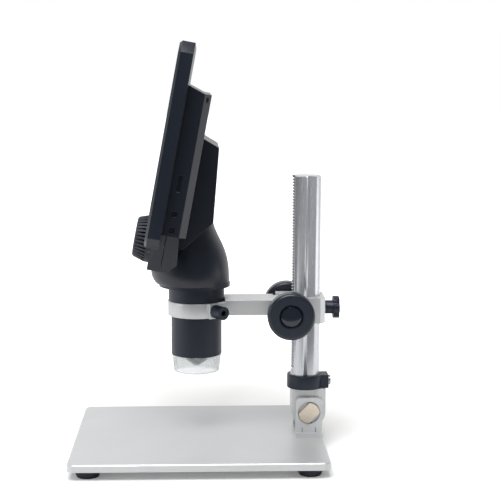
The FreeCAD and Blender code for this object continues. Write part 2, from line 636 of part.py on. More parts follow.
# Carriage block that slides on the post
def carriage():
    body = new_body("carriage_block")
    plan = rectangle(body, "carriage_plan", "XY_Plane", ("post_x - carriage_front", "-carriage_half"),
                     ("post_x + carriage_rear", "carriage_half"), "carriage_z")
    block = feature(body, "Pad", "carriage_pad", plan, {"Length": "carriage_height"})
    rear = size("post_x") + size("carriage_rear")
    uprights = edges_where(block, lambda edge: runs_along(edge, V(0, 0, 1)) and edge.BoundBox.XMin > rear - 1e-3)
    dress(body, "Chamfer", "carriage_corners", block, uprights, "Size", "carriage_corner")
    bore = circles(body, "carriage_bore", "XY_Plane", [("post_x", "0", "post_radius + running_gap")], "carriage_z")
    feature(body, "Pocket", "carriage_bore_cut", bore, {"Length": "carriage_height + 1"}, {"Reversed": True})
    room = rectangle(body, "pinion_room", "XY_Plane",
                     ("pinion_x - pinion_radius - 1.5", "-rack_slot / 2 - 1"),
                     ("post_x - post_radius / 2", "rack_slot / 2 + 1"), "carriage_z")
    feature(body, "Pocket", "pinion_room_cut", room, {"Length": "carriage_height + 1"}, {"Reversed": True})
    across = circles(body, "bush_bore", "XZ_Plane", [("pinion_x", "pinion_z", "bush_radius + fit_gap")])
    feature(body, "Pocket", "bush_bore_cut", across, {"Length": "3 * carriage_half"}, {"Midplane": True})
    lock = circles(body, "lock_bore", "YZ_Plane", [("0", "lock_z", "lock_shank + running_gap")], "post_x")
    feature(body, "Pocket", "lock_bore_cut", lock, {"Length": "2 * carriage_rear"}, {"Reversed": True})
    seat = rectangle(body, "arm_seat", "YZ_Plane", ("-arm_tenon_half - fit_gap", "arm_z - fit_gap"),
                     ("arm_tenon_half + fit_gap", "arm_z + arm_height + carriage_height"),
                     "post_x - carriage_front")
    feature(body, "Pocket", "arm_seat_cut", seat, {"Length": "arm_pocket"}, {"Reversed": True})
    return keep("carriage_block", body)


# Arm and clamp ring in one casting
def ring_arm():
    outer = cylinder("ring_outer", "ring_radius", "ring_height", ("ring_x", "0", "ring_z"))
    front = "ring_x + sleeve_radius + side_gap"
    bar = box("arm_bar", ("post_x - carriage_front - arm_joint - (%s)" % front, "2 * arm_half", "arm_height"),
              (front, "-arm_half", "arm_z"))
    web = box("arm_web", ("sleeve_radius", "2 * arm_half", "ring_z + ring_height - arm_z"),
              ("ring_x + 1", "-arm_half", "arm_z"))
    tenon = box("arm_tenon", ("arm_joint + arm_pocket", "2 * arm_tenon_half", "arm_height"),
                ("post_x - carriage_front - arm_joint", "-arm_tenon_half", "arm_z"))
    boss = box("ring_boss", ("ring_boss_reach", "2 * ring_boss_half", "ring_height"),
               ("0", "-ring_boss_half", "0"))
    boss.Placement = FreeCAD.Placement(V(0, 0, 0), FreeCAD.Rotation(V(0, 0, 1), -size("clamp_angle")))
    half = "ring_boss_half"
    bind(boss, {"Placement.Base.x": "ring_x - %s * sin(clamp_angle * 1deg)" % half,
                "Placement.Base.y": "-%s * cos(clamp_angle * 1deg)" % half, "Placement.Base.z": "ring_z"})
    solid = fuse("ring_arm_solid", [outer, bar, web, tenon, boss])
    bore = cylinder("ring_bore", "ring_bore", "2 * ring_height", ("ring_x", "0", "ring_z - ring_height / 2"))
    tap = clamp_rod("clamp_tap", "clamp_shank + running_gap", "2 * ring_radius", "barrel_radius / 2")
    keep("ring_arm", cut("ring_arm", solid, [bore, tap]))


def clamp_rod(name, radius, length, start):
    """A round rod along the clamp screw's axis, from a distance off the ring's axis."""
    rod = bind(doc.addObject("Part::Cylinder", name), {"Radius": radius, "Height": length})
    aim = V(math.cos(math.radians(size("clamp_angle"))), -math.sin(math.radians(size("clamp_angle"))), 0)
    rod.Placement = FreeCAD.Placement(V(0, 0, 0), FreeCAD.Rotation(V(0, 0, 1), aim))
    bind(rod, {"Placement.Base.x": "ring_x + (%s) * cos(clamp_angle * 1deg)" % start,
               "Placement.Base.y": "-(%s) * sin(clamp_angle * 1deg)" % start,
               "Placement.Base.z": "ring_z + ring_height / 2"})
    return rod


def clamp_screw():
    shank = clamp_rod("clamp_shank", "clamp_shank", "ring_boss_reach + side_gap - ring_bore - 0.2",
                      "ring_bore + 0.2")
    head = clamp_rod("clamp_head", "clamp_head_radius", "clamp_head_length", "ring_boss_reach + side_gap")
    socket = clamp_rod("clamp_socket", "clamp_socket", "clamp_head_length / 2",
                       "ring_boss_reach + side_gap + clamp_head_length / 2")
    keep("clamp_screw", cut("clamp_screw", fuse("clamp_solid", [shank, head]), [socket]))


# Pinion shaft: rod with involute-like teeth in the middle
def pinion_shape(teeth, pitch_radius, width):
    """A spur pinion about Z, centred on the origin, one flank pair per tooth."""
    tip = pitch_radius + size("tooth_addendum")
    root = pitch_radius - size("tooth_dedendum")
    lean = math.radians(size("tooth_slope"))
    base = pitch_radius * math.cos(lean)
    half_pitch = (math.pi / teeth - size("tooth_play") / pitch_radius) / 2

    def involute(radius):
        if radius <= base:
            return 0.0
        roll = math.acos(base / radius)
        return math.tan(roll) - roll

    outline = []
    radii = (root, base, pitch_radius, tip)
    for number in range(teeth):
        middle = 2 * math.pi * number / teeth
        flank = [(radius, half_pitch + involute(pitch_radius) - involute(radius)) for radius in radii]
        for radius, angle in flank:
            outline.append((radius, middle - angle))
        for radius, angle in reversed(flank):
            outline.append((radius, middle + angle))
    points = [V(radius * math.cos(angle), radius * math.sin(angle), -width / 2) for radius, angle in outline]
    face = Part.Face(Part.makePolygon(points + points[:1]))
    return face.extrude(V(0, 0, width))


def pinion_shaft():
    reach = size("carriage_half") + size("knob_gap") + size("knob_hub_length") + size("knob_length") / 3
    width = size("rack_slot") - 2 * size("side_gap")
    teeth = pinion_shape(int(size("pinion_teeth")), size("pinion_radius"), width)
    rod = Part.makeCylinder(size("shaft_radius"), 2 * reach, V(0, 0, -reach))
    shaft = doc.addObject("Part::Feature", "pinion_shaft")
    shaft.Shape = teeth.fuse(rod).removeSplitter()
    turn = FreeCAD.Rotation(V(1, 0, 0), -90)
    phase = mesh_phase(size("pinion_z") - size("rack_low"), size("rack_pitch"), size("pinion_radius"))
    shaft.Placement = FreeCAD.Placement(V(0, 0, 0), turn.multiply(FreeCAD.Rotation(V(0, 0, 1), phase)))
    bind(shaft, {"Placement.Base.x": "pinion_x", "Placement.Base.z": "pinion_z"})
    keep("pinion_shaft", shaft)


def mesh_phase(height, pitch, radius):
    """Turn that puts a pinion tooth in the middle of the nearest gap of a rack to its right."""
    off = height / pitch - round(height / pitch)
    return math.degrees(off * pitch / radius)


def bushes():
    for side, sign, axis in (("near", "-", "Y"), ("far", "", "-Y")):
        start = sign + "carriage_half"
        ring = cylinder("bush_outer_" + side, "bush_radius", "bush_length", ("pinion_x", start, "pinion_z"), axis)
        hole = cylinder("bush_hole_" + side, "shaft_radius + running_gap", "bush_length + 2",
                        ("pinion_x", start + (" - 1" if sign else " + 1"), "pinion_z"), axis)
        keep("shaft_bush_" + side, cut("shaft_bush_" + side, ring, [hole]))


# Focus knobs: a rounded drum with a cupped face and a hub
def focus_knob(side, direction):
    body = new_body("focus_knob_" + side)
    inner = "carriage_half + knob_gap"
    face = "(%s + knob_hub_length + knob_length)" % inner
    corners = (
        ("shaft_radius + fit_gap", inner),
        ("knob_hub_radius", inner),
        ("knob_hub_radius", "%s + knob_hub_length" % inner),
        ("knob_radius", "%s + knob_hub_length" % inner),
        ("knob_radius", face),
        ("knob_cup_radius", face),
        ("knob_cup_radius * 0.7", face + " - knob_cup_depth"),
        ("shaft_radius + fit_gap", face + " - knob_cup_depth"))
    profile = polygon(body, "knob_profile_" + side, "XZ_Plane", corners)
    drum = body.newObject("PartDesign::Revolution", "knob_drum_" + side)
    drum.Profile = profile
    drum.ReferenceAxis = (origin_plane(body, "Z_Axis"), [""])
    drum.Angle = 360
    body.Tip = drum
    doc.recompute()
    rim = edges_where(drum, lambda edge: edge.Length > 6.28 * size("knob_radius") - 1)
    dress(body, "Fillet", "knob_rim_" + side, drum, rim, "Radius", "knob_round")
    place(body, ("pinion_x", "0", "pinion_z"), direction)
    keep("focus_knob_" + side, body)


# Rear lock screw
def lock_screw():
    rear = "post_x + carriage_rear"
    shank = cylinder("lock_shank", "lock_shank", "carriage_rear + thrust_gap - post_radius - 2 * side_gap",
                     ("post_x + post_radius + 2 * side_gap", "0", "lock_z"), "X")
    neck = cylinder("lock_neck", "lock_neck_radius", "lock_neck_length", (rear + " + thrust_gap", "0", "lock_z"), "X")
    head = cylinder("lock_head", "lock_head_radius", "lock_head_length",
                    (rear + " + thrust_gap + lock_neck_length", "0", "lock_z"), "X")
    hollows = []
    count = int(size("lock_lobes"))
    for number in range(count):
        turn = "%g * 1deg" % (360.0 * (number + 0.5) / count)
        hollows.append(cylinder(
            "lock_hollow_%d" % number, "lock_head_radius / 4", "lock_head_length + 2",
            (rear + " + thrust_gap + lock_neck_length - 1", "1.12 * lock_head_radius * cos(%s)" % turn,
             "lock_z + 1.12 * lock_head_radius * sin(%s)" % turn), "X"))
    grip = cut("lock_grip", head, hollows)
    keep("lock_screw", fuse("lock_screw", [shank, neck, grip]))


# Camera barrel: sleeve above the ring, tube through it
def barrel():
    tube = cylinder("tube_outer", "barrel_radius", "seat_z - barrel_z", ("ring_x", "0", "barrel_z"))
    bore = cylinder("tube_inner", "barrel_radius - barrel_wall", "2 * (seat_z - barrel_z)",
                    ("ring_x", "0", "barrel_z - 5"))
    keep("barrel_tube", cut("barrel_tube", tube, [bore]))
    sleeve = cylinder("sleeve_outer", "sleeve_radius", "sleeve_height", ("ring_x", "0", "seat_z"))
    inner = cylinder("sleeve_inner", "barrel_radius - barrel_wall", "sleeve_height + 2",
                     ("ring_x", "0", "seat_z - 1"))
    keep("barrel_sleeve", cut("barrel_sleeve", sleeve, [inner]))


def light_hood():
    body = new_body("light_hood")
    corners = (
        ("hood_top_radius - 2 * hood_wall", "barrel_z - hood_z"),
        ("hood_top_radius", "barrel_z - hood_z"),
        ("hood_low_radius", "0"),
        ("hood_low_radius - hood_wall", "0"),
        ("hood_top_radius - 2 * hood_wall", "barrel_z - hood_z - hood_wall"))
    profile = polygon(body, "hood_profile", "XZ_Plane", corners)
    cup = body.newObject("PartDesign::Revolution", "hood_cup")
    cup.Profile = profile
    cup.ReferenceAxis = (origin_plane(body, "Z_Axis"), [""])
    cup.Angle = 360
    body.Tip = cup
    doc.recompute()
    lip = edges_where(cup, lambda edge: edge.BoundBox.ZMax < 1e-3 and edge.Curve.TypeId == "Part::GeomCircle")
    dress(body, "Fillet", "hood_lip", cup, lip, "Radius", "hood_round")
    place(body, ("ring_x", "0", "hood_z"))
    keep("light_hood", body)


def light_ring():
    disc = cylinder("light_disc", "barrel_radius - barrel_wall - side_gap", "board_thick", ("ring_x", "0", "barrel_z"))
    hole = cylinder("light_disc_hole", "lens_tube_radius + 1", "board_thick + 2", ("ring_x", "0", "barrel_z - 1"))
    keep("light_board", cut("light_board", disc, [hole]))
    lamps = []
    for number in range(8):
        turn = "%g * 1deg" % (360.0 * number / 8)
        lamps.append(cylinder("lamp_%d" % number, "1.4", "1.2",
                              ("ring_x + lamp_circle * cos(%s)" % turn, "lamp_circle * sin(%s)" % turn,
                               "barrel_z - 1.2")))
    keep("light_lamps", group("light_lamps", lamps))


# Lens tube that slides inside the barrel, with its lens and sensor
def lens_carriage():
    tube = cylinder("lens_tube_outer", "lens_tube_radius", "tube_length", ("ring_x", "0", "tube_z"))
    nose = cone("lens_nose", "lens_radius + 1", "lens_tube_radius", "lens_nose",
                ("ring_x", "0", "tube_z - lens_nose"))
    solid = fuse("lens_tube_solid", [tube, nose])
    bore = cylinder("lens_tube_bore", "lens_radius + fit_gap", "tube_length + 2 * lens_nose",
                    ("ring_x", "0", "tube_z - 1.5 * lens_nose"))
    keep("lens_tube", cut("lens_tube", solid, [bore]))
    keep("objective_lens", cylinder("objective_lens", "lens_radius", "lens_thick",
                                    ("ring_x", "0", "tube_z - lens_nose + 1")))
    top = "tube_z + tube_length"
    keep("sensor_board", cylinder("sensor_board", "sensor_board_radius", "board_thick", ("ring_x", "0", top)))
    chip = box("sensor_chip", ("sensor_side", "sensor_side", "chip_thick"),
               ("ring_x - sensor_side / 2", "-sensor_side / 2", top + " - chip_thick"))
    keep("image_sensor", common("image_sensor", chip, cylinder(
        "sensor_room", "lens_radius", "2 * chip_thick", ("ring_x", "0", top + " - chip_thick"))))


# Lens rack: teeth across the dial's axis, on an arm from the lens tube
def lens_rack():
    body = new_body("lens_rack_bar")
    line = "pinion_radius"
    tip = line + " - tooth_addendum"
    back = "%s + tooth_dedendum + lens_rack_thick" % line
    depth = "chin_rear + side_gap + lens_travel * sin(head_tilt * 1deg)"
    reach = "rack_pitch * lens_gaps / 2"
    strip = rectangle(body, "lens_strip", "YZ_Plane", (tip, "-dial_drop - " + reach),
                      (back, "-dial_drop + " + reach), depth)
    feature(body, "Pad", "lens_strip_pad", strip, {"Length": "lens_rack_width"})
    root = line + " + tooth_dedendum"
    gap_z = "-dial_drop - rack_pitch * (lens_gaps - 1) / 2"
    gap = polygon(body, "lens_gap", "YZ_Plane", (
        (tip + " - 0.2", "%s - half_gap_tip - 0.2 * tooth_lean" % gap_z), (root, "%s - half_gap_root" % gap_z),
        (root, "%s + half_gap_root" % gap_z), (tip + " - 0.2", "%s + half_gap_tip + 0.2 * tooth_lean" % gap_z)),
        depth + " - 1")
    tooth = feature(body, "Pocket", "lens_gap_cut", gap, {"Length": "lens_rack_width + 2"}, {"Reversed": True})
    row = body.newObject("PartDesign::LinearPattern", "lens_tooth_row")
    row.Originals = [tooth]
    row.Direction = (origin_plane(body, "Z_Axis"), [""])
    bind(row, {"Length": "rack_pitch * (lens_gaps - 1)", "Occurrences": "lens_gaps"})
    body.Tip = row
    doc.recompute()
    head_place(body)
    side = line + " + tooth_dedendum"
    upright = box("lens_rack_upright", ("lens_rack_width", "lens_rack_thick", "lens_arm_top - lens_arm_low"),
                  ("ring_x - lens_arm_ahead", side, "lens_arm_low"))
    foot = box("lens_rack_foot", ("lens_arm_ahead", "lens_rack_thick", "lens_rack_thick * 2"),
               ("ring_x - lens_arm_ahead", side, "lens_arm_low"))
    inside = cylinder("lens_rack_seat", "lens_tube_radius", "2 * tube_length", ("ring_x", "0", "tube_z"))
    keep("lens_rack", cut("lens_rack", fuse("lens_rack_solid", [body, upright, foot]), [inside]))


# Head: outer form of the rear shell in the screen's own frame
def head_forms():
    envelope = new_body("head_envelope")
    wide = polygon(envelope, "box_side", "XZ_Plane", (
        ("frame_depth", "box_low"), ("box_rear", "box_low"), ("box_rear", "box_top - box_slope - box_bevel"),
        ("box_rear - box_bevel", "box_top - box_slope"), ("frame_depth", "box_top")))
    feature(envelope, "Pad", "box_pad", wide, {"Length": "2 * box_half"}, {"Midplane": True})
    back = rectangle(envelope, "cover_outline", "YZ_Plane",
                     ("-frame_half + shell_wall + 2 + fit_gap", "box_low + shell_wall + fit_gap"),
                     ("frame_half - shell_wall - 2 - fit_gap", "frame_height - shell_wall - 2 - fit_gap"),
                     "frame_depth - cover_thick")
    feature(envelope, "Pad", "cover_pad", back, {"Length": "cover_thick"})
    narrow = polygon(envelope, "hump_side", "XZ_Plane", (
        ("chin_rear - 4", "hump_toe"), ("box_rear", "hump_toe"), ("hump_rear_low", "hump_heel"),
        ("hump_rear_top", "hump_top - hump_slope"), ("box_rear", "hump_top"), ("chin_rear - 4", "hump_top")))
    feature(envelope, "Pad", "hump_pad", narrow, {"Length": "2 * hump_half"}, {"Midplane": True})
    chin = polygon(envelope, "chin_front", "YZ_Plane", (
        ("-chin_half_low", "-chin_drop"), ("chin_half_low", "-chin_drop"), ("chin_half_top", "box_low + 1"),
        ("-chin_half_top", "box_low + 1")), "frame_depth")
    feature(envelope, "Pad", "chin_pad", chin, {"Length": "chin_rear - frame_depth"})
    heel = polygon(envelope, "chin_heel", "XZ_Plane", (
        ("chin_rear - chin_cut", "-chin_drop - 1"), ("chin_rear + 1", "-chin_drop - 1"),
        ("chin_rear + 1", "-chin_drop + chin_cut")))
    feature(envelope, "Pocket", "chin_heel_cut", heel, {"Length": "3 * chin_half_top"}, {"Midplane": True})

    slots = (("card_slot", "card_slot_width", "card_slot_length", "card_slot_rise"),
             ("power_socket", "power_socket_width", "power_socket_length", "power_socket_rise"))
    for name, width, length, rise in slots:
        hole = rectangle(envelope, name, "XZ_Plane", ("port_ahead - %s / 2" % width, rise),
                         ("port_ahead + %s / 2" % width, "%s + %s" % (rise, length)), "box_half - port_deep")
        feature(envelope, "Pocket", name + "_cut", hole, {"Length": "port_deep + 1"}, {"Reversed": True})
    jack = circles(envelope, "video_socket", "XZ_Plane", [("port_ahead", "jack_rise", "jack_radius")],
                   "box_half - port_deep")
    feature(envelope, "Pocket", "video_socket_cut", jack, {"Length": "port_deep + 1"}, {"Reversed": True})

    cavity = new_body("head_cavity")
    wall = "shell_wall"
    wide = polygon(cavity, "box_side_in", "XZ_Plane", (
        ("frame_depth - cover_thick - 1", "box_low + " + wall), ("box_rear - " + wall, "box_low + " + wall),
        ("box_rear - " + wall, "box_top - box_slope - box_bevel - " + wall),
        ("box_rear - box_bevel - " + wall, "box_top - box_slope - " + wall),
        ("frame_depth - cover_thick - 1", "box_top - " + wall)))
    feature(cavity, "Pad", "box_pad_in", wide, {"Length": "2 * (box_half - shell_wall)"}, {"Midplane": True})
    narrow = polygon(cavity, "hump_side_in", "XZ_Plane", (
        ("frame_depth + 1", "hump_toe + 3 * " + wall), ("box_rear - " + wall, "hump_toe + 3 * " + wall),
        ("hump_rear_low - " + wall, "hump_heel + " + wall),
        ("hump_rear_top - " + wall, "hump_top - hump_slope - " + wall),
        ("box_rear - " + wall, "hump_top - " + wall), ("frame_depth + 1", "hump_top - " + wall)))
    feature(cavity, "Pad", "hump_pad_in", narrow, {"Length": "2 * (hump_half - shell_wall)"}, {"Midplane": True})
    chin = polygon(cavity, "chin_front_in", "YZ_Plane", (
        ("-chin_half_low + 1.5 * " + wall, "-chin_drop + " + wall),
        ("chin_half_low - 1.5 * " + wall, "-chin_drop + " + wall),
        ("chin_half_top - 1.5 * " + wall, "box_low + 2 * " + wall),
        ("-chin_half_top + 1.5 * " + wall, "box_low + 2 * " + wall)), "frame_depth - 1")
    feature(cavity, "Pad", "chin_pad_in", chin, {"Length": "chin_rear - frame_depth + 1 - chin_cut"})
    return head_place(envelope), head_place(cavity)


def rear_shell(envelope, cavity):
    bore = cylinder("dial_way", "dial_shaft_radius + 1", "40", ("panel_x", "0", "panel_z"))
    tilt = FreeCAD.Rotation(V(0, 1, 0), size("head_tilt") + 90)
    bore.Placement = FreeCAD.Placement(V(0, 0, 0), tilt)
    lean = "head_tilt * 1deg"
    bind(bore, {"Placement.Base.x": "panel_x - dial_drop * sin(%s) + 5 * cos(%s)" % (lean, lean),
                "Placement.Base.z": "panel_z - dial_drop * cos(%s) - 5 * sin(%s)" % (lean, lean)})
    reach = "(rack_pitch * lens_gaps / 2 + lens_travel + gear_clear)"
    half = "(pinion_radius + tooth_dedendum + lens_rack_thick + gear_clear)"
    room = box("gear_room", ("lens_rack_width + 3 + 2 * gear_clear", "2 * " + half, "2 * " + reach), ("0", "0", "0"))
    head_at(room, "chin_rear - gear_clear", "-" + half, "-dial_drop - " + reach)
    keep("rear_shell", cut("rear_shell", envelope, [cavity, bore, room]))


# Dome: a hollow loft of circles from the rim up into the head
def dome_loft(name, shrink):
    body = new_body(name)
    sections = []
    for number, (rise, ahead, radius) in enumerate(DOME_SECTIONS):
        ring = circles(body, "%s_ring_%d" % (name, number), "XY_Plane",
                       [("ring_x - (%g)" % ahead, "0", "%g - (%s)" % (radius, shrink))],
                       "dome_z + %g" % rise)
        sections.append(ring)
    loft = body.newObject("PartDesign::AdditiveLoft", name + "_loft")
    loft.Profile = sections[0]
    loft.Sections = sections[1:]
    body.Tip = loft
    doc.recompute()
    return body


# Height above the dome's foot, centre ahead of the barrel axis, radius.
DOME_SECTIONS = ((2.0, 2.3, 25.1), (8.8, 4.2, 26.7), (17.7, 4.5, 26.0), (27.4, 5.5, 24.0), (47.2, 8.1, 19.4))


def dome(envelope):
    outer = dome_loft("dome_outer", "0")
    inner = dome_loft("dome_inner", "dome_wall")
    rim = cylinder("dome_rim_disc", "dome_rim_radius", "dome_rim + 0.4", ("ring_x - 1.2", "0", "dome_z"))
    solid = fuse("dome_solid", [outer, rim])
    ahead = box("dome_front_room", ("chin_rear + 40", "4 * dome_rim_radius", "frame_height"), ("0", "0", "0"))
    head_at(ahead, "-40", "-2 * dome_rim_radius", "-chin_drop")
    mouth = cylinder("dome_mouth", "sleeve_radius + fit_gap", "dome_rim + 4", ("ring_x", "0", "dome_z - 1"))
    keep("dome_shell", cut("dome_shell", solid, [inner, mouth, envelope, ahead]))


# Front shell: screen frame with the front of the control block
def front_shell():
    body = new_body("front_shell")
    a = "frame_corner"
    outline = polygon(body, "frame_outline", "YZ_Plane", (
        ("-frame_half + " + a, "0"), ("frame_half - " + a, "0"), ("frame_half", a),
        ("frame_half", "frame_height - " + a), ("frame_half - " + a, "frame_height"),
        ("-frame_half + " + a, "frame_height"), ("-frame_half", "frame_height - " + a), ("-frame_half", a)))
    plate = feature(body, "Pad", "frame_pad", outline, {"Length": "frame_depth"})
    front = edges_where(plate, lambda edge: edge.BoundBox.XMax < 1e-3)
    dress(body, "Chamfer", "frame_edge", plate, front, "Size", "frame_bevel")
    chin = polygon(body, "front_chin", "YZ_Plane", (
        ("-chin_half_low", "-chin_drop"), ("chin_half_low", "-chin_drop"), ("chin_half_top", "box_low"),
        ("-chin_half_top", "box_low")), "chin_setback")
    feature(body, "Pad", "front_chin_pad", chin, {"Length": "frame_depth - chin_setback"})
    hollow = rectangle(body, "frame_hollow", "YZ_Plane", ("-frame_half + shell_wall + 2", "box_low + shell_wall"),
                       ("frame_half - shell_wall - 2", "frame_height - shell_wall - 2"),
                       "glass_thick + screen_bevel")
    feature(body, "Pocket", "frame_hollow_cut", hollow, {"Length": "frame_depth"}, {"Reversed": True})
    chin_hollow = polygon(body, "chin_hollow", "YZ_Plane", (
        ("-chin_half_low + 1.5 * shell_wall", "-chin_drop + shell_wall"),
        ("chin_half_low - 1.5 * shell_wall", "-chin_drop + shell_wall"),
        ("chin_half_top - 1.5 * shell_wall", "box_low + 2 * shell_wall"),
        ("-chin_half_top + 1.5 * shell_wall", "box_low + 2 * shell_wall")), "chin_setback + shell_wall")
    feature(body, "Pocket", "chin_hollow_cut", chin_hollow, {"Length": "frame_depth"}, {"Reversed": True})
    window = rectangle(body, "window", "YZ_Plane", ("-screen_half", "screen_low"),
                       ("screen_half", "screen_low + screen_height"), "-1")
    opening = feature(body, "Pocket", "window_cut", window, {"Length": "frame_depth"}, {"Reversed": True})
    half, low = size("screen_half"), size("screen_low")
    corners = edges_where(opening, lambda edge: runs_along(edge, V(1, 0, 0))
                          and abs(abs(edge.CenterOfMass.y) - half) < 1e-3 and edge.CenterOfMass.z > low - 1e-3)
    dress(body, "Fillet", "window_corners", opening, corners, "Radius", "screen_corner")
    dish = circles(body, "dial_dish", "YZ_Plane", [("0", "-dial_drop", "dial_radius_rear + dial_recess_gap")], "-1")
    feature(body, "Pocket", "dial_dish_cut", dish, {"Length": "chin_setback + 1"}, {"Reversed": True})
    holes = [("0", "-dial_drop", "dial_shaft_radius + running_gap")]
    for side in ("", "-"):
        for number in range(3):
            holes.append(("%s(button_first + %d * button_step)" % (side, number), "-button_drop",
                          "button_radius + button_gap"))
    ways = circles(body, "control_holes", "YZ_Plane", holes, "-1")
    feature(body, "Pocket", "control_hole_cut", ways, {"Length": "chin_setback + shell_wall + 2"},
            {"Reversed": True})
    keep("front_shell", head_place(body))


def screen():
    low = "glass_thick + screen_bevel"
    glass = box("cover_glass", ("glass_thick", "2 * (screen_half + screen_lap)",
                                "screen_height + 2 * screen_lap"),
                ("0", "0", "0"))
    module = box("screen_module", ("module_thick", "2 * (screen_half + screen_lap)",
                                   "screen_height + 2 * screen_lap"), ("0", "0", "0"))
    head_at(glass, low, "-screen_half - screen_lap", "screen_low - screen_lap")
    head_at(module, low + " + glass_thick", "-screen_half - screen_lap", "screen_low - screen_lap")
    keep("cover_glass", glass)
    keep("screen_module", module)


def head_at(thing, depth, across, up, turn=0):
    """Place a primitive at a bound point of the screen's frame, its Z turned from up to rearward."""
    thing.Placement = FreeCAD.Placement(V(0, 0, 0), FreeCAD.Rotation(V(0, 1, 0), size("head_tilt") + turn))
    lean = "head_tilt * 1deg"
    bind(thing, {
        "Placement.Base.x": "panel_x + (%s) * cos(%s) + (%s) * sin(%s)" % (depth, lean, up, lean),
        "Placement.Base.y": across,
        "Placement.Base.z": "panel_z - (%s) * sin(%s) + (%s) * cos(%s)" % (depth, lean, up, lean)})
    return thing


def head_rod(name, radius, length, depth, across, up, turn=90):
    rod = bind(doc.addObject("Part::Cylinder", name), {"Radius": radius, "Height": length})
    return head_at(rod, depth, across, up, turn)


def button_back():
    """Depth of the button board: just behind the buttons pressed home."""
    return "chin_setback - button_proud + button_length + button_travel + 0.4"


def head_electronics():
    board = box("main_board", ("board_thick", "board_wide", "board_high"), ("0", "0", "0"))
    head_at(board, "2 * glass_thick + screen_bevel + module_thick", "-board_wide / 2",
            "box_low + board_lift")
    keep("main_board", board)
    made = []
    for side, sign in (("near", "-"), ("far", "")):
        cell = head_rod("battery_" + side, "cell_radius", "cell_length",
                        "cell_depth", sign + "(cell_radius + side_gap)", "hump_heel - 4", 0)
        keep("battery_cell_" + side, cell)
        made.append(head_rod("cradle_way_" + side, "cell_radius + fit_gap", "2 * cell_length",
                             "cell_depth", sign + "(cell_radius + side_gap)", "hump_toe", 0))
    cradle = new_body("cradle_block")
    low, high = "hump_heel + shell_wall + 4", "hump_heel + cell_length / 2 + 12"
    rear = "hump_rear_low - shell_wall - fit_gap - (%s - hump_heel - shell_wall) * hump_lean"
    side = polygon(cradle, "cradle_side", "XZ_Plane", (
        ("cell_depth", low), (rear % low, low), (rear % high, high), ("cell_depth", high)))
    feature(cradle, "Pad", "cradle_pad", side, {"Length": "4 * cell_radius"}, {"Midplane": True})
    keep("battery_cradle", cut("battery_cradle", head_place(cradle), made))
    reach = "(button_first + 2 * button_step + button_radius)"
    strip = box("button_strip", ("board_thick", "2 * " + reach, "2.4 * button_radius"), ("0", "0", "0"))
    head_at(strip, button_back(), "-" + reach, "-button_drop - 1.2 * button_radius")
    way = head_rod("button_board_way", "dial_shaft_radius + 1", "2 * frame_depth", "0", "0", "-dial_drop")
    keep("button_board", cut("button_board", strip, [way]))


def buttons():
    for side, sign in (("near", "-"), ("far", "")):
        for number in range(3):
            across = "%s(button_first + %d * button_step)" % (sign, number)
            name = "button_%s_%d" % (side, number + 1)
            cap = head_rod(name + "_cap", "button_radius", "button_length",
                           "chin_setback - button_proud", across, "-button_drop")
            flange = head_rod(name + "_flange", "button_radius + button_flange", "1",
                              "chin_setback + shell_wall + 0.1", across, "-button_drop")
            keep(name, fuse(name, [cap, flange]))


# Focus dial: a ribbed truncated cone on a smooth ring
def focus_dial():
    body = new_body("focus_dial")
    height = "(dial_front + chin_setback - side_gap)"
    corners = (
        ("0", "-dial_front"), ("dial_radius_front - 1", "-dial_front"), ("dial_radius_front", "-dial_front + 1"),
        ("dial_radius_rear", "-dial_front + %s - dial_base_height" % height),
        ("dial_radius_rear", "-dial_front + " + height), ("0", "-dial_front + " + height))
    profile = polygon(body, "dial_profile", "XZ_Plane", corners)
    drum = body.newObject("PartDesign::Revolution", "dial_drum")
    drum.Profile = profile
    drum.ReferenceAxis = (origin_plane(body, "Z_Axis"), [""])
    drum.Angle = 360
    body.Tip = drum
    doc.recompute()
    notch = polygon(body, "dial_notch", "XY_Plane", (
        ("dial_radius_front - dial_rib_depth", "0"), ("dial_radius_rear + 1", "-dial_rib_width"),
        ("dial_radius_rear + 1", "dial_rib_width")), "-dial_front - 1")
    groove = feature(body, "Pocket", "dial_notch_cut", notch,
                     {"Length": height + " - dial_base_height + 1"}, {"Reversed": True})
    ribs = body.newObject("PartDesign::PolarPattern", "dial_ribs")
    ribs.Originals = [groove]
    ribs.Axis = (origin_plane(body, "Z_Axis"), [""])
    ribs.Angle = 360
    bind(ribs, {"Occurrences": "dial_ribs"})
    body.Tip = ribs
    doc.recompute()
    head_at(body, "0", "0", "-dial_drop", 90)
    keep("focus_dial", body)
    start = size("chin_setback") - size("side_gap")
    width = size("dial_pinion_width")
    length = size("chin_rear") - 3 * size("side_gap") - start
    teeth = pinion_shape(int(size("pinion_teeth")), size("pinion_radius"), width)
    teeth.rotate(V(0, 0, 0), V(0, 0, 1), 90)
    teeth.translate(V(0, 0, length + width / 2))
    rod = Part.makeCylinder(size("dial_shaft_radius"), length)
    shaft = doc.addObject("Part::Feature", "dial_shaft")
    shaft.Shape = rod.fuse(teeth).removeSplitter()
    keep("dial_shaft", head_at(shaft, "chin_setback - side_gap", "0", "-dial_drop", 90))


def write_parts():
    doc.recompute()
    for thing in doc.Objects:
        if "Invalid" in thing.State or "Error" in thing.State:
            raise RuntimeError("%s did not build: %s" % (thing.Name, thing.State))
    for node in nodes:
        if node.Shape.isNull() or not node.Shape.isValid():
            raise RuntimeError("%s has no valid shape" % node.Label)
    os.makedirs("parts", exist_ok=True)
    for node in nodes:
        node.Shape.exportStep("parts/%s.step" % node.Label)
    print("wrote %d parts" % len(nodes))


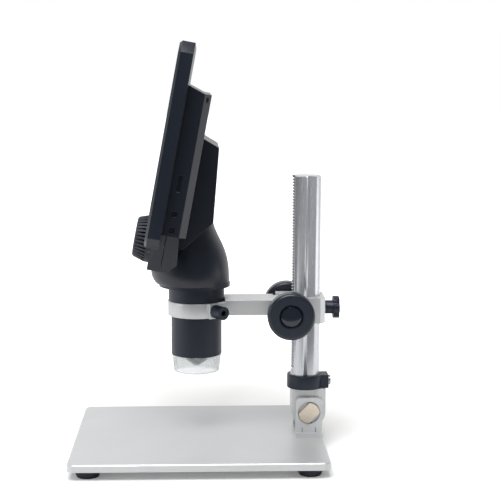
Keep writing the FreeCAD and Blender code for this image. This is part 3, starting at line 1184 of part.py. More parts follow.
base_plate()
feet()
hinge_bracket()
bracket_screws()
pivot_pin()
pivot_nut()
hinge_tongue()
post_column()
post_rack()
collar()
carriage()
ring_arm()
clamp_screw()
pinion_shaft()
bushes()
focus_knob("near", "-Y")
focus_knob("far", "Y")
lock_screw()
barrel()
light_hood()
light_ring()
lens_carriage()
lens_rack()
head_envelope, head_cavity = head_forms()
rear_shell(head_envelope, head_cavity)
dome(head_envelope)
front_shell()
screen()
head_electronics()
buttons()
focus_dial()
write_parts()
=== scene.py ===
import json
import logging
import math
from collections.abc import Sequence
from dataclasses import dataclass, field
from enum import Enum

import bmesh
import bpy
from mathutils import Matrix, Vector


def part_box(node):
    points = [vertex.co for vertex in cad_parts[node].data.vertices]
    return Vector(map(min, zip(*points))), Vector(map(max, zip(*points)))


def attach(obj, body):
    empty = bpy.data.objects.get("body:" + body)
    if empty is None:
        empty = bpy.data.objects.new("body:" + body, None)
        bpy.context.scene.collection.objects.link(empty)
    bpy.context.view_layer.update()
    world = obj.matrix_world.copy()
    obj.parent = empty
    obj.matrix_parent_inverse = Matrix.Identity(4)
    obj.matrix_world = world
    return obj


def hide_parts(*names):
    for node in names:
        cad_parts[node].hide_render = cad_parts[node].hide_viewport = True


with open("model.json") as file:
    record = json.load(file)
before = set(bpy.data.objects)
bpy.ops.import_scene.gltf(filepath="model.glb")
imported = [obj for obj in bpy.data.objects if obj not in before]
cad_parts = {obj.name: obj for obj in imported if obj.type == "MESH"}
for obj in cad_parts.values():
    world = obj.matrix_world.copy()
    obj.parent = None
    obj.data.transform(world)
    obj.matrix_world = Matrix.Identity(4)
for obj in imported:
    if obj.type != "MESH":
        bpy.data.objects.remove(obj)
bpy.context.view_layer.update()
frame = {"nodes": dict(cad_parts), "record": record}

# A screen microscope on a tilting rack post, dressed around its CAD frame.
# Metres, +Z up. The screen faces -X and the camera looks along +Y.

logging.basicConfig(level=logging.INFO, format="%(name)s: %(message)s")
log = logging.getLogger("microscope")

Point = tuple[float, float]
Corner = tuple[float, float, float]

MM = 0.001
# Corners of a CAD mesh that are nearer than this are one corner.
WELD_MM = 0.002
# A rounding takes edges that turn by more than this, with this many facets.
ROUND_ANGLE_DEG = 32.0
ROUND_STEPS = 3
# Faces that meet at less than this shade as one surface.
SMOOTH_ANGLE_DEG = 35.0
# Two lengths in millimetres that differ by less are the same.
SAME_MM = 0.01
# Slow change of tone across a surface: patches about 30 mm wide.
PATCHES_PER_METRE = 33.0
# Share of a finish's second colour that shows everywhere.
LEAST_SHADE = 0.1
LEAST_ROUGHNESS = 0.02
# Numbers of a mix node's colour inputs and output, which share their names with its other sockets.
MIX_COLOUR_A = 6
MIX_COLOUR_B = 7
MIX_COLOUR_OUT = 2
# A finish at least this metallic is a metal and keeps the shader's own IOR.
METAL_FROM = 0.5


def linear(hex_code: str) -> tuple[float, float, float, float]:
    """Turn an sRGB hex colour into linear light.

    Args:
        hex_code: six hex digits with a leading hash.

    Returns:
        Red, green, blue and an alpha of one.
    """
    def channel(text: str) -> float:
        """One channel in linear light."""
        value = int(text, 16) / 255
        return value / 12.92 if value <= 0.04045 else ((value + 0.055) / 1.055) ** 2.4
    digits = hex_code.lstrip("#")
    return channel(digits[0:2]), channel(digits[2:4]), channel(digits[4:6]), 1.0


def add_node(tree: bpy.types.NodeTree, kind: str, sockets: dict[str | int, object] | None = None,
             **settings: object) -> bpy.types.Node:
    """Add one shader node with its settings and links.

    Args:
        tree: the material's node tree.
        kind: Blender's name for the node.
        sockets: input name or number to a value, or to an output socket to join.
        settings: properties of the node itself.

    Returns:
        The new node.
    """
    node = tree.nodes.new(kind)
    for name, value in settings.items():
        setattr(node, name, value)
    for name, value in (sockets or {}).items():
        if isinstance(value, bpy.types.NodeSocket):
            tree.links.new(value, node.inputs[name])
        else:
            node.inputs[name].default_value = value
    return node


class Grain(Enum):
    """Direction in which a surface's marks run, as their density along X, Y and Z."""

    EVEN = (1.0, 1.0, 1.0)
    ALONG_X = (0.03, 1.0, 1.0)
    ALONG_Y = (1.0, 0.03, 1.0)
    UPRIGHT = (1.0, 1.0, 0.02)
    TURNED = (0.35, 0.35, 1.0)


@dataclass(frozen=True)
class Finish:
    """One real surface: what it is made of and how it was made.

    The grain is noise with cells of grain_mm. It shades the colour, the gloss and the relief.
    """

    name: str
    colour: str
    shade: str
    roughness: float
    gloss_change: float = 0.05
    metallic: float = 0.0
    ior: float = 1.5
    grain: Grain = Grain.EVEN
    grain_mm: float = 0.5
    relief_mm: float = 0.01
    coat: float = 0.0
    clearness: float = 0.0

    def paint(self) -> bpy.types.Material:
        """Build the material, or find the one that was built before.

        Returns:
            The material of this finish.
        """
        known = bpy.data.materials.get(self.name)
        if known:
            return known
        material = bpy.data.materials.new(self.name)
        material.use_nodes = True
        tree = material.node_tree
        tree.nodes.clear()
        place = add_node(tree, "ShaderNodeTexCoord")
        cells = [share / (self.grain_mm * MM) for share in self.grain.value]
        scaled = add_node(tree, "ShaderNodeMapping", {"Vector": place.outputs["Object"], "Scale": cells})
        grain = add_node(tree, "ShaderNodeTexNoise", {
            "Vector": scaled.outputs["Vector"], "Scale": 1.0, "Detail": 3.0, "Roughness": 0.6})
        patch = add_node(tree, "ShaderNodeTexNoise", {
            "Vector": place.outputs["Object"], "Scale": PATCHES_PER_METRE, "Detail": 2.0})
        mixed = add_node(tree, "ShaderNodeMath", {
            0: grain.outputs["Fac"], 1: patch.outputs["Fac"], 2: LEAST_SHADE}, operation="MULTIPLY_ADD")
        tint = add_node(tree, "ShaderNodeMix", {
            "Factor": mixed.outputs["Value"], MIX_COLOUR_A: linear(self.colour),
            MIX_COLOUR_B: linear(self.shade)}, data_type="RGBA")
        gloss = add_node(tree, "ShaderNodeMapRange", {
            "Value": grain.outputs["Fac"],
            "To Min": max(self.roughness - self.gloss_change, LEAST_ROUGHNESS),
            "To Max": min(self.roughness + self.gloss_change, 1.0)})
        relief = add_node(tree, "ShaderNodeBump", {
            "Height": grain.outputs["Fac"], "Strength": 1.0, "Distance": self.relief_mm * MM})
        surface = add_node(tree, "ShaderNodeBsdfPrincipled", {
            "Base Color": tint.outputs[MIX_COLOUR_OUT], "Roughness": gloss.outputs["Result"],
            "Normal": relief.outputs["Normal"], "Metallic": self.metallic, "Coat Weight": self.coat,
            "Transmission Weight": self.clearness})
        if self.metallic < METAL_FROM:
            surface.inputs["IOR"].default_value = self.ior
        add_node(tree, "ShaderNodeOutputMaterial", {"Surface": surface.outputs["BSDF"]})
        material.diffuse_color = linear(self.colour)
        return material


# The marks of drawing, blasting and moulding are finer than a pixel here, so grain_mm is drawn coarser than
# they are.

# Extruded aluminium rod, clear anodised: soft metal gloss with faint draw lines along its length. It is less
# than fully metallic, which keeps its tone even above a bright floor.
DRAWN_ALUMINIUM = Finish("drawn_anodised_aluminium", "#CFD1D6", "#C3C6CC", 0.26, 0.04, metallic=0.6,
                         grain=Grain.UPRIGHT, grain_mm=0.35, relief_mm=0.003)
# Aluminium plate, fine blasted and anodised: matt silver with a very fine sparkle.
BLASTED_ALUMINIUM = Finish("blasted_anodised_aluminium", "#D0D2D3", "#C2C4C5", 0.42, 0.05, metallic=0.5,
                           grain_mm=0.45, relief_mm=0.008)
# Moulded rubber: nearly black and dull.
MOULDED_RUBBER = Finish("moulded_rubber", "#1B1E25", "#262A33", 0.72, 0.06, ior=1.52, grain_mm=0.6,
                        relief_mm=0.02)
# Milled steel: darker and sharper than the aluminium, with cutter marks across. Its colours are darker
# # than bare steel: painted shade that stands in for the shadow between the rack's teeth.
MILLED_STEEL_AND_SHADE = Finish("milled_steel_and_shade", "#A9ABAF", "#85888E", 0.28, 0.08, metallic=1.0, grain=Grain.ALONG_Y,
                      grain_mm=0.3, relief_mm=0.008)
# Nickel-plated brass, brushed: warm white metal with clear streaks.
PLATED_NICKEL = Finish("brushed_nickel_plate", "#DDD2C2", "#BFB3A4", 0.26, 0.1, metallic=1.0,
                       grain=Grain.ALONG_X, grain_mm=0.3, relief_mm=0.012)
# Moulded black ABS, fine mould texture: the knobs, with a satin gloss.
KNOB_ABS = Finish("moulded_knob_abs", "#141B27", "#1E2734", 0.36, 0.05, ior=1.53, grain_mm=0.5,
                  relief_mm=0.006)
# The same plastic from a polished mould: the caps in the knobs, with small sharp highlights.
POLISHED_ABS = Finish("polished_abs", "#141B27", "#1A222E", 0.14, 0.03, ior=1.53, grain_mm=0.8,
                      relief_mm=0.002)
# Black anodised aluminium: blue-black with a soft metal sheen and fine turning lines.
BLACK_ANODISED = Finish("black_anodised_aluminium", "#1B212E", "#262D3B", 0.42, 0.05, metallic=0.35,
                        grain=Grain.TURNED, grain_mm=0.4, relief_mm=0.005)
# Moulded ABS housing with spark texture: blue-black, matt, a fine even pebble.
HOUSING_ABS = Finish("spark_textured_abs", "#111824", "#192230", 0.36, 0.05, ior=1.5, grain_mm=0.55,
                     relief_mm=0.015)
# Soft-touch elastomer over the dial: dull charcoal.
DIAL_ELASTOMER = Finish("soft_touch_elastomer", "#20252F", "#2D333F", 0.6, 0.06, ior=1.52, grain_mm=0.5,
                        relief_mm=0.012)
# Frosted polycarbonate: milky and see-through, with a satin skin. Its IOR is lowered from 1.58, so that the
# thin wall stays clear enough to show the lens behind it.
FROSTED_PC = Finish("frosted_polycarbonate", "#F6F8F9", "#EEF2F3", 0.24, 0.04, ior=1.3, grain_mm=0.8,
                    relief_mm=0.004, clearness=0.78)
# Polished optical glass: clear, with sharp reflections.
OPTICAL_GLASS = Finish("polished_optical_glass", "#F5F8F8", "#EDF3F3", 0.04, 0.01, ior=1.52, grain_mm=4.0,
                       relief_mm=0.0005, clearness=1.0)
# Screen glass switched off: deep black with a clear glossy skin.
SCREEN_GLASS = Finish("switched_off_screen", "#050608", "#08090C", 0.12, 0.02, ior=1.52, grain_mm=5.0,
                      relief_mm=0.001, coat=1.0)
# Glass-fibre board with green solder mask: even green with a satin gloss.
SOLDER_MASK = Finish("solder_mask_board", "#0E4A2C", "#156239", 0.4, 0.05, ior=1.55, grain_mm=0.8,
                     relief_mm=0.02)
# Lamp resin: pale yellow, glossy.
LAMP_RESIN = Finish("lamp_resin", "#F1EFD6", "#E6E2BC", 0.2, 0.03, ior=1.5, grain_mm=0.6, relief_mm=0.003)
# Turned brass: yellow metal with fine rings.
TURNED_BRASS = Finish("turned_brass", "#CFA860", "#B48E48", 0.28, 0.06, metallic=1.0, grain=Grain.TURNED,
                      grain_mm=0.3, relief_mm=0.005)
# Heat-shrunk film round the battery cells: glossy blue.
SHRINK_FILM = Finish("battery_shrink_film", "#1F4E8C", "#2A5E9E", 0.25, 0.04, ior=1.5, grain_mm=2.0,
                     relief_mm=0.02)
# Matt paper of the studio floor: white, with no gloss. Studio.paper adds a glow to it, dimmed under the
# # object as painted shade.
FLOOR_PAPER = Finish("matt_paper_floor", "#FAFAF9", "#F6F6F5", 0.9, 0.03, grain_mm=3.0, relief_mm=0.01)

SLOT_FINISHES: dict[str, Finish] = {
    "brushed_aluminium": DRAWN_ALUMINIUM, "silver_paint": BLASTED_ALUMINIUM, "black_rubber": MOULDED_RUBBER,
    "steel": MILLED_STEEL_AND_SHADE, "nickel": PLATED_NICKEL, "black_knob": KNOB_ABS, "black_anodised": BLACK_ANODISED,
    "shell_plastic": HOUSING_ABS, "dial_rubber": DIAL_ELASTOMER, "clear_plastic": FROSTED_PC,
    "optical_glass": OPTICAL_GLASS, "screen": SCREEN_GLASS, "board": SOLDER_MASK, "lamp": LAMP_RESIN,
    "brass": TURNED_BRASS, "battery_wrap": SHRINK_FILM,
}


def round_edges(thing: bpy.types.Object, width_mm: float) -> None:
    """Add a rounding modifier for sharp edges.

    Args:
        thing: the object.
        width_mm: radius of the rounding.
    """
    bevel = thing.modifiers.new("rounded_edges", "BEVEL")
    bevel.width = width_mm * MM
    bevel.segments = ROUND_STEPS
    bevel.limit_method = "ANGLE"
    bevel.angle_limit = math.radians(ROUND_ANGLE_DEG)
    bevel.harden_normals = True
    bevel.use_clamp_overlap = True


def soften(rounding_mm: dict[str, float]) -> None:
    """Round the sharp edges of CAD nodes with modifiers, which leave their meshes as they are.

    Args:
        rounding_mm: radius of the rounding for each node's name.
    """
    for node, width_mm in rounding_mm.items():
        thing = frame["nodes"][node]
        weld = thing.modifiers.new("join_faces", "WELD")
        weld.merge_threshold = WELD_MM * MM
        round_edges(thing, width_mm)


def helper(name: str, mesh: bpy.types.Mesh) -> bpy.types.Object:
    """Link a mesh as a helper object, which carve uses up.

    Args:
        name: name of the helper.
        mesh: its mesh.

    Returns:
        The helper object.
    """
    form = bpy.data.objects.new(name, mesh)
    bpy.context.scene.collection.objects.link(form)
    return form


def closed_form(name: str, near: Sequence[Corner], far: Sequence[Corner], place: Matrix,
                cut_depth: float = 0.0, cut: float = 0.0) -> bpy.types.Object:
    """A closed helper form between two end faces with as many corners each.

    Args:
        name: name of the helper.
        near: corners of the near end face, in the place's millimetres.
        far: corners of the far end face, in the same order.
        place: where the form stands, in metres.
        cut_depth: depth of the rear face whose two upright edges are cut.
        cut: width of that cut, or nothing for no cut.

    Returns:
        The helper object.
    """
    mesh = bpy.data.meshes.new(name)
    work = bmesh.new()
    sides = [[work.verts.new(corner) for corner in side] for side in (near, far)]
    work.faces.new(sides[0])
    work.faces.new(reversed(sides[1]))
    for i in range(len(near)):
        after = (i + 1) % len(near)
        work.faces.new((sides[0][after], sides[0][i], sides[1][i], sides[1][after]))
    bmesh.ops.recalc_face_normals(work, faces=work.faces)
    if cut:
        edges = [edge for edge in work.edges
                 if all(abs(corner.co.x - cut_depth) < SAME_MM for corner in edge.verts)
                 and abs(edge.verts[0].co.y - edge.verts[1].co.y) < SAME_MM]
        bmesh.ops.bevel(work, geom=edges, offset=cut, segments=1, affect="EDGES")
    for corner in work.verts:
        corner.co = place @ (corner.co * MM)
    work.to_mesh(mesh)
    work.free()
    return helper(name, mesh)


def prism(name: str, outline: Sequence[Point], half_v: float, place: Matrix, middle_v: float = 0.0,
          cut_depth: float = 0.0, cut: float = 0.0) -> bpy.types.Object:
    """A closed helper form with one outline in u and w, drawn out along v.

    Args:
        name: name of the helper.
        outline: (u, w) corners in millimetres.
        half_v: half its width, in millimetres.
        place: where the form stands, in metres.
        middle_v: middle of the form along v.
        cut_depth: depth of the rear face whose two upright edges are cut.
        cut: width of that cut, or nothing for no cut.

    Returns:
        The helper object.
    """
    near, far = ([(u, middle_v + v, w) for u, w in outline] for v in (-half_v, half_v))
    return closed_form(name, near, far, place, cut_depth, cut)


def rectangle(u_low: float, w_low: float, u_high: float, w_high: float) -> tuple[Point, ...]:
    """The four corners of a rectangle in u and w."""
    return (u_low, w_low), (u_high, w_low), (u_high, w_high), (u_low, w_high)


def turned(name: str, outline: Sequence[Point], place: Matrix, steps: int) -> bpy.types.Object:
    """A helper form turned round the Z axis of a place.

    Args:
        name: name of the helper.
        outline: (radius, height) points in millimetres, each after the other round the section.
        place: where the axis stands, in metres.
        steps: facets round the form.

    Returns:
        The helper object.
    """
    mesh = bpy.data.meshes.new(name)
    work = bmesh.new()
    rings = []
    for radius, height in outline:
        if not radius:
            rings.append([work.verts.new(place @ Vector((0, 0, height * MM)))])
            continue
        angles = [2 * math.pi * step / steps for step in range(steps)]
        rings.append([
            work.verts.new(place @ Vector((
                radius * MM * math.cos(angle), radius * MM * math.sin(angle), height * MM)))
            for angle in angles])
    for low, high in zip(rings, rings[1:]):
        for step in range(steps):
            after = (step + 1) % steps
            corners = [low[step % len(low)], low[after % len(low)], high[after % len(high)],
                       high[step % len(high)]]
            corners = list(dict.fromkeys(corners))
            if len(corners) > 2:
                work.faces.new(corners)
    bmesh.ops.recalc_face_normals(work, faces=work.faces)
    work.to_mesh(mesh)
    work.free()
    return helper(name, mesh)


def copy_of(node: str) -> bpy.types.Object:
    """A closed helper copy of one CAD node, ready to be carved.

    Args:
        node: the CAD node's name.

    Returns:
        The helper object.
    """
    mesh = frame["nodes"][node].data.copy()
    work = bmesh.new()
    work.from_mesh(mesh)
    bmesh.ops.remove_doubles(work, verts=work.verts, dist=WELD_MM * MM)
    work.to_mesh(mesh)
    work.free()
    form = helper(node + "_copy", mesh)
    form.matrix_world = frame["nodes"][node].matrix_world
    return form


def carve(name: str, base: bpy.types.Object, joined: Sequence[bpy.types.Object] = (),
          taken: Sequence[bpy.types.Object] = ()) -> bpy.types.Mesh:
    """Join and cut helper forms, and use them up.

    Args:
        name: name of the new mesh.
        base: form to start from.
        joined: forms that are added.
        taken: forms that are cut away.

    Returns:
        The finished mesh.
    """
    for form, operation in [(form, "UNION") for form in joined] + [(form, "DIFFERENCE") for form in taken]:
        step = base.modifiers.new(form.name, "BOOLEAN")
        step.operation = operation
        step.solver = "EXACT"
        step.object = form
    bpy.context.view_layer.update()
    ready = base.evaluated_get(bpy.context.evaluated_depsgraph_get())
    mesh = bpy.data.meshes.new_from_object(ready)
    mesh.name = name
    for form in (base, *joined, *taken):
        bpy.data.objects.remove(form)
    return mesh


def show(name: str, mesh: bpy.types.Mesh, finish: Finish, body: str,
         round_mm: float = 0.0) -> bpy.types.Object:
    """Put a finished mesh in the scene as a piece of the object.

    Args:
        name: name of the piece.
        mesh: its mesh, in the frame's metres.
        finish: its surface.
        body: CAD body that carries it.
        round_mm: rounding of its edges, or nothing for sharp edges.

    Returns:
        The new piece.
    """
    mesh.materials.clear()
    mesh.materials.append(finish.paint())
    for face in mesh.polygons:
        face.use_smooth = True
    mesh.set_sharp_from_angle(angle=math.radians(SMOOTH_ANGLE_DEG))
    piece = bpy.data.objects.new(name, mesh)
    bpy.context.scene.collection.objects.link(piece)
    if round_mm:
        round_edges(piece, round_mm)
    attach(piece, body)
    log.info("piece %s rides on %s", name, body)
    return piece


@dataclass(frozen=True)
class CrossScrew:
    """A pan head with a cross recess.

    Radius and rise are in millimetres. The section and the slot's measures are shares of them, and the
    slot's turn is in radians.
    """

    radius: float = 2.4
    rise: float = 1.3
    section: tuple[Point, ...] = ((0.0, 1.0), (0.5, 0.95), (0.85, 0.7), (1.0, 0.3), (1.0, 0.0), (0.0, 0.0))
    slot_reach: float = 0.58
    slot_half: float = 0.13
    slot_floor: float = 0.35
    slot_top: float = 2.0
    slot_turn: float = math.pi / 5
    facets: int = 32

    def mesh(self, place: Matrix) -> bpy.types.Mesh:
        """Build the head with its recess.

        Args:
            place: centre of the face that the head sits on, its Z outwards.

        Returns:
            The mesh of the head.
        """
        outline = [(self.radius * reach, self.rise * height) for reach, height in self.section]
        head = turned("screw_blank", outline, place, self.facets)
        reach = self.radius * self.slot_reach
        slot = rectangle(-reach, self.rise * self.slot_floor, reach, self.rise * self.slot_top)
        slots = [prism("screw_slot_%d" % number, slot, self.radius * self.slot_half,
                       place @ Matrix.Rotation(number * math.pi / 2 + self.slot_turn, 4, "Z"))
                 for number in range(2)]
        return carve("cross_screw", head, (), slots)


@dataclass
class Stand:
    """Base plate, feet, hinge and post. Lengths are in millimetres."""

    rounding: dict[str, float] = field(default_factory=lambda: {
        "base_plate": 0.6, "hinge_bracket": 0.5, "hinge_tongue": 0.5, "foot_front_near": 0.6,
        "foot_front_far": 0.6, "foot_rear_near": 0.6, "foot_rear_far": 0.6, "post_collar": 0.6,
        "pivot_pin": 0.25, "pivot_nut": 0.3})
    flat_depth: float = 1.7
    flat_start: float = 12.0
    flat_spare: float = 1.0

    def dress(self) -> None:
        """Round the edges and build the post."""
        soften(self.rounding)
        self.post()
        log.info("stand dressed")

    def post(self) -> None:
        """Build the post with a narrow flat beside its rack, so that the teeth stand out at its front."""
        low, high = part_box("post_column")
        spare = self.flat_spare * MM
        middle = (low.y + high.y) / 2
        outline = rectangle((low.x - spare) / MM, (low.z + self.flat_start * MM) / MM,
                            (low.x + self.flat_depth * MM) / MM, (high.z + spare) / MM)
        flat = prism("rack_flat", outline, (high.y - low.y) / 2 / MM, Matrix.Identity(4), middle / MM)
        mesh = carve("post_rod", copy_of("post_column"), (), (flat,))
        rod = show("post_rod", mesh, DRAWN_ALUMINIUM, "post")
        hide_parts("post_column")


@dataclass
class FocusDrive:
    """Carriage, arm, knobs and screws on the post. Lengths are in millimetres."""

    castings: dict[str, float] = field(default_factory=lambda: {"carriage_block": 0.7, "ring_arm": 0.7})
    screws: dict[str, float] = field(default_factory=lambda: {"clamp_screw": 0.5, "lock_screw": 0.4})
    cap_radius: float = 7.2
    cap_rise: float = 1.2
    cap_sunk: float = 1.8
    cap_skirt: float = 0.4
    cap_steps: int = 8
    cap_facets: int = 64

    def dress(self) -> None:
        """Round the castings and the screws, and cap the knobs."""
        soften(self.castings)
        self.cap("near", 1)
        self.cap("far", -1)
        soften(self.screws)
        log.info("focus drive dressed")

    def cap(self, side: str, sign: int) -> None:
        """Build a domed cap in the cup of a focus knob.

        Args:
            side: side of the knob.
            sign: 1 for the near knob, -1 for the far one.
        """
        low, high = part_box("focus_knob_" + side)
        face = low.y if sign > 0 else high.y
        centre = Vector(((low.x + high.x) / 2, face + sign * self.cap_sunk * MM, (low.z + high.z) / 2))
        place = Matrix.Translation(centre) @ Matrix.Rotation(sign * math.pi / 2, 4, "X")
        quarter = [step * math.pi / 2 / self.cap_steps for step in range(self.cap_steps + 1)]
        dome = [(self.cap_radius * math.sin(angle), self.cap_rise * math.cos(angle)) for angle in quarter]
        outline = (*dome, (self.cap_radius, -self.cap_skirt), (0.0, -self.cap_skirt))
        mesh = carve("knob_cap_" + side, turned("knob_cap_blank", outline, place, self.cap_facets))
        show("knob_cap_" + side, mesh, POLISHED_ABS, "pinion")


@dataclass
class ScreenFrame:
    """The leaning frame of the screen: u runs rearward, v across and w up the screen, in millimetres."""

    lean_deg: float = 10.5
    ahead: float = 108.1
    above_plate: float = 142.3

    def matrix(self) -> Matrix:
        """Find the frame's place from the post and the plate.

        Returns:
            The place of the screen's lower front edge.
        """
        low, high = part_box("post_column")
        post_x = (low.x + high.x) / 2
        plate_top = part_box("base_plate")[1].z
        origin = Vector((post_x - self.ahead * MM, 0.0, plate_top + self.above_plate * MM))
        return Matrix.Translation(origin) @ Matrix.Rotation(math.radians(self.lean_deg), 4, "Y")

    def at(self, u: float, v: float, w: float) -> Matrix:
        """A place in the frame whose own Z points rearward."""
        spot = Matrix.Translation(Vector((u, v, w)) * MM)
        return self.matrix() @ spot @ Matrix.Rotation(math.pi / 2, 4, "Y")


@dataclass
class Housing:
    """Front and rear mouldings of the head: screen frame, wide box, narrow box and control block.

    Sizes are in the screen frame's millimetres. A rectangle is (u low, w low, u high, w high). The cad_ sizes
    are those of the CAD node's control block, which the new block surrounds.
    """

    screen: ScreenFrame = field(default_factory=ScreenFrame)
    depth: float = 9.5
    overlap: float = 1.0
    box_low: float = 8.6
    box_top: float = 103.6
    box_fall: float = 4.0
    box_half: float = 76.0
    box_rear: float = 25.0
    box_chamfer: float = 4.4
    hump_front: float = 18.8
    hump_half: float = 36.0
    hump_top: float = 70.8
    hump_fall: float = 4.2
    hump_rear_top: float = 36.3
    hump_rear_low: float = 41.4
    hump_heel: float = 17.5
    hump_toe: float = -3.4
    chin_half_top: float = 62.0
    chin_half_low: float = 55.0
    chin_drop: float = 17.7
    chin_rear: float = 22.8
    chin_cut: float = 6.1
    chin_lean: float = 2.6
    chin_front: float = 4.0
    cad_chin_drop: float = 14.8
    cad_chin_half_low: float = 48.0
    cad_chin_bite: float = 0.5
    front_chin_sunk: float = 0.01
    front_chin_rise: float = 0.2
    front_chin_inset: float = 0.05
    front_hollow_inset: float = 0.8
    seam: float = 12.5
    seam_gap: float = 0.35
    cover_half: float = 84.7
    cover_low: float = 10.9
    cover_top: float = 124.7
    cover_thick: float = 1.9
    card_slot: tuple[float, float, float, float] = (14.0, 37.0, 16.0, 47.5)
    power_socket: tuple[float, float, float, float] = (13.2, 10.4, 17.0, 14.6)
    reset_slot: tuple[float, float, float, float] = (21.0, 94.6, 23.6, 97.6)
    reset_half: float = 0.6
    socket_deep: float = 2.0
    jack_at: Point = (15.0, 23.0)
    jack_radius: float = 1.9
    screw: CrossScrew = field(default_factory=CrossScrew)
    screw_across: float = 64.0
    screw_rises: tuple[float, float] = (18.0, 88.0)
    screw_sunk: float = 2.2
    well_gap: float = 0.6
    well_length: float = 4.0
    facets: int = 32
    edge_round: float = 0.55

    def dress(self) -> None:
        """Build the front moulding, the rear moulding and the screws."""
        self.front()
        self.rear()
        self.screws()
        log.info("housing dressed")

    def front(self) -> None:
        """Build the front moulding, its control block as deep and as low as the photograph shows."""
        top = self.box_low + self.front_chin_rise
        outer = rectangle(self.chin_front + self.front_chin_sunk, -self.chin_drop, self.seam, top)
        block = self.leaning("front_chin", outer, self.chin_half_low,
                             self.chin_half_top - self.front_chin_inset)
        inner = rectangle(self.chin_front - self.overlap, -self.cad_chin_drop + self.cad_chin_bite,
                          self.seam + self.overlap, top + self.overlap)
        hollow = self.leaning("front_chin_hollow", inner, self.cad_chin_half_low - self.cad_chin_bite,
                              self.chin_half_top - self.front_hollow_inset)
        band = helper("chin_band", carve("chin_band", block, (), (hollow,)))
        mesh = carve("front_housing", copy_of("front_shell"), (band,))
        shell = show("front_housing", mesh, HOUSING_ABS, "head", self.edge_round)
        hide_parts("front_shell")

    def rear(self) -> None:
        """Build the rear moulding with its chamfers, sockets and screw wells."""
        place = self.screen.matrix()
        start = self.depth - self.overlap
        slant_low = self.box_top - self.box_fall
        box = prism("wide_box", (
            (start, self.box_low), (self.box_rear, self.box_low), (self.box_rear, slant_low),
            (self.box_rear - self.box_chamfer, slant_low), (start, self.box_top)), self.box_half, place,
            cut_depth=self.box_rear, cut=self.box_chamfer)
        hump = prism("narrow_box", (
            (self.hump_front, self.hump_toe), (self.box_rear, self.hump_toe),
            (self.hump_rear_low, self.hump_heel), (self.hump_rear_top, self.hump_top - self.hump_fall),
            (self.box_rear, self.hump_top), (self.hump_front, self.hump_top)), self.hump_half, place)
        sheet = rectangle(self.depth - self.cover_thick, self.cover_low, self.depth, self.cover_top)
        cover = prism("cover", sheet, self.cover_half, place)
        cutters = [*self.sockets(place), *self.screw_wells(), self.reset_hole(place)]
        mesh = carve("rear_housing", box, (hump, cover, self.rear_chin()), cutters)
        shell = show("rear_housing", mesh, HOUSING_ABS, "head", self.edge_round)
        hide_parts("rear_shell")

    def screws(self) -> None:
        """Put the shell screws in their wells."""
        for number, place in enumerate(self.screw_places(), start=1):
            show("shell_screw_%d" % number, self.screw.mesh(place), BLACK_ANODISED, "head")

    def leaning(self, name: str, section: Sequence[Point], half_low: float,
                half_top: float) -> bpy.types.Object:
        """A length of the control block, its sides leaning in towards its foot.

        Args:
            name: name of the helper.
            section: (u, w) corners.
            half_low: half its width at the foot.
            half_top: half its width at the top.

        Returns:
            The helper form.
        """
        low, top = min(w for _, w in section), max(w for _, w in section)
        near, far = ([(u, sign * (half_low + (w - low) / (top - low) * (half_top - half_low)), w)
                      for u, w in section] for sign in (-1, 1))
        return closed_form(name, near, far, self.screen.matrix())

    def rear_chin(self) -> bpy.types.Object:
        """The control block behind the seam, with its cut heel.

        Returns:
            The helper form.
        """
        start, top = self.seam + self.seam_gap, self.box_low + self.overlap
        return self.leaning("rear_chin", (
            (start, -self.chin_drop), (self.chin_rear - self.chin_cut, -self.chin_drop),
            (self.chin_rear, -self.chin_drop + self.chin_cut), (self.chin_rear - self.chin_lean, top),
            (start, top)), self.chin_half_low, self.chin_half_top)

    def sockets(self, place: Matrix) -> list[bpy.types.Object]:
        """Cutters for the card slot, the power socket and the video socket in the near side.

        Args:
            place: the screen frame's place.

        Returns:
            The helper forms.
        """
        across = -self.box_half
        openings = (("card_slot", self.card_slot), ("power_socket", self.power_socket))
        slot, power = (prism(name, rectangle(*sides), self.socket_deep, place, across)
                       for name, sides in openings)
        start = Vector((self.jack_at[0], across - self.socket_deep, self.jack_at[1])) * MM
        axis = place @ Matrix.Translation(start) @ Matrix.Rotation(-math.pi / 2, 4, "X")
        length = 2 * self.socket_deep
        jack = turned("video_socket", self.pin(self.jack_radius, length), axis, self.facets)
        return [slot, power, jack]

    def reset_hole(self, place: Matrix) -> bpy.types.Object:
        """A small slot near the top of the near chamfer."""
        middle = -self.box_half + self.box_chamfer / 2
        return prism("reset_hole", rectangle(*self.reset_slot), self.reset_half, place, middle)

    def screw_places(self) -> list[Matrix]:
        """Places of the four shell screws in the wide box's rear face."""
        return [self.screen.at(self.box_rear - self.screw_sunk, v, w)
                for v in (-self.screw_across, self.screw_across) for w in self.screw_rises]

    def screw_wells(self) -> list[bpy.types.Object]:
        """Cutters for the round wells of the shell screws."""
        outline = self.pin(self.screw.radius + self.well_gap, self.well_length)
        return [turned("well_%d" % number, outline, place, self.facets)
                for number, place in enumerate(self.screw_places())]

    def pin(self, radius: float, length: float) -> tuple[Point, ...]:
        """Outline of a plain round pin that starts at its place."""
        return (0.0, 0.0), (radius, 0.0), (radius, length), (0.0, length)


@dataclass
class LensSnout:
    """Tapered snout under the objective, seen through the light hood. Lengths are in millimetres."""

    top_radius: float = 7.3
    rim: float = 0.4
    tip_radius: float = 1.7
    opening: float = 1.2
    length: float = 4.6
    facets: int = 64

    def dress(self) -> None:
        """Build the snout below the lens tube."""
        low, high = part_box("lens_tube")
        place = Matrix.Translation(Vector(((low.x + high.x) / 2, (low.y + high.y) / 2, low.z)))
        outline = ((self.opening, -self.length), (self.tip_radius, -self.length),
                   (self.top_radius, -self.rim), (self.top_radius, 0.0), (self.opening, 0.0))
        mesh = carve("lens_snout", turned("lens_snout_blank", outline, place, self.facets))
        show("lens_snout", mesh, BLACK_ANODISED, "lens_carriage")


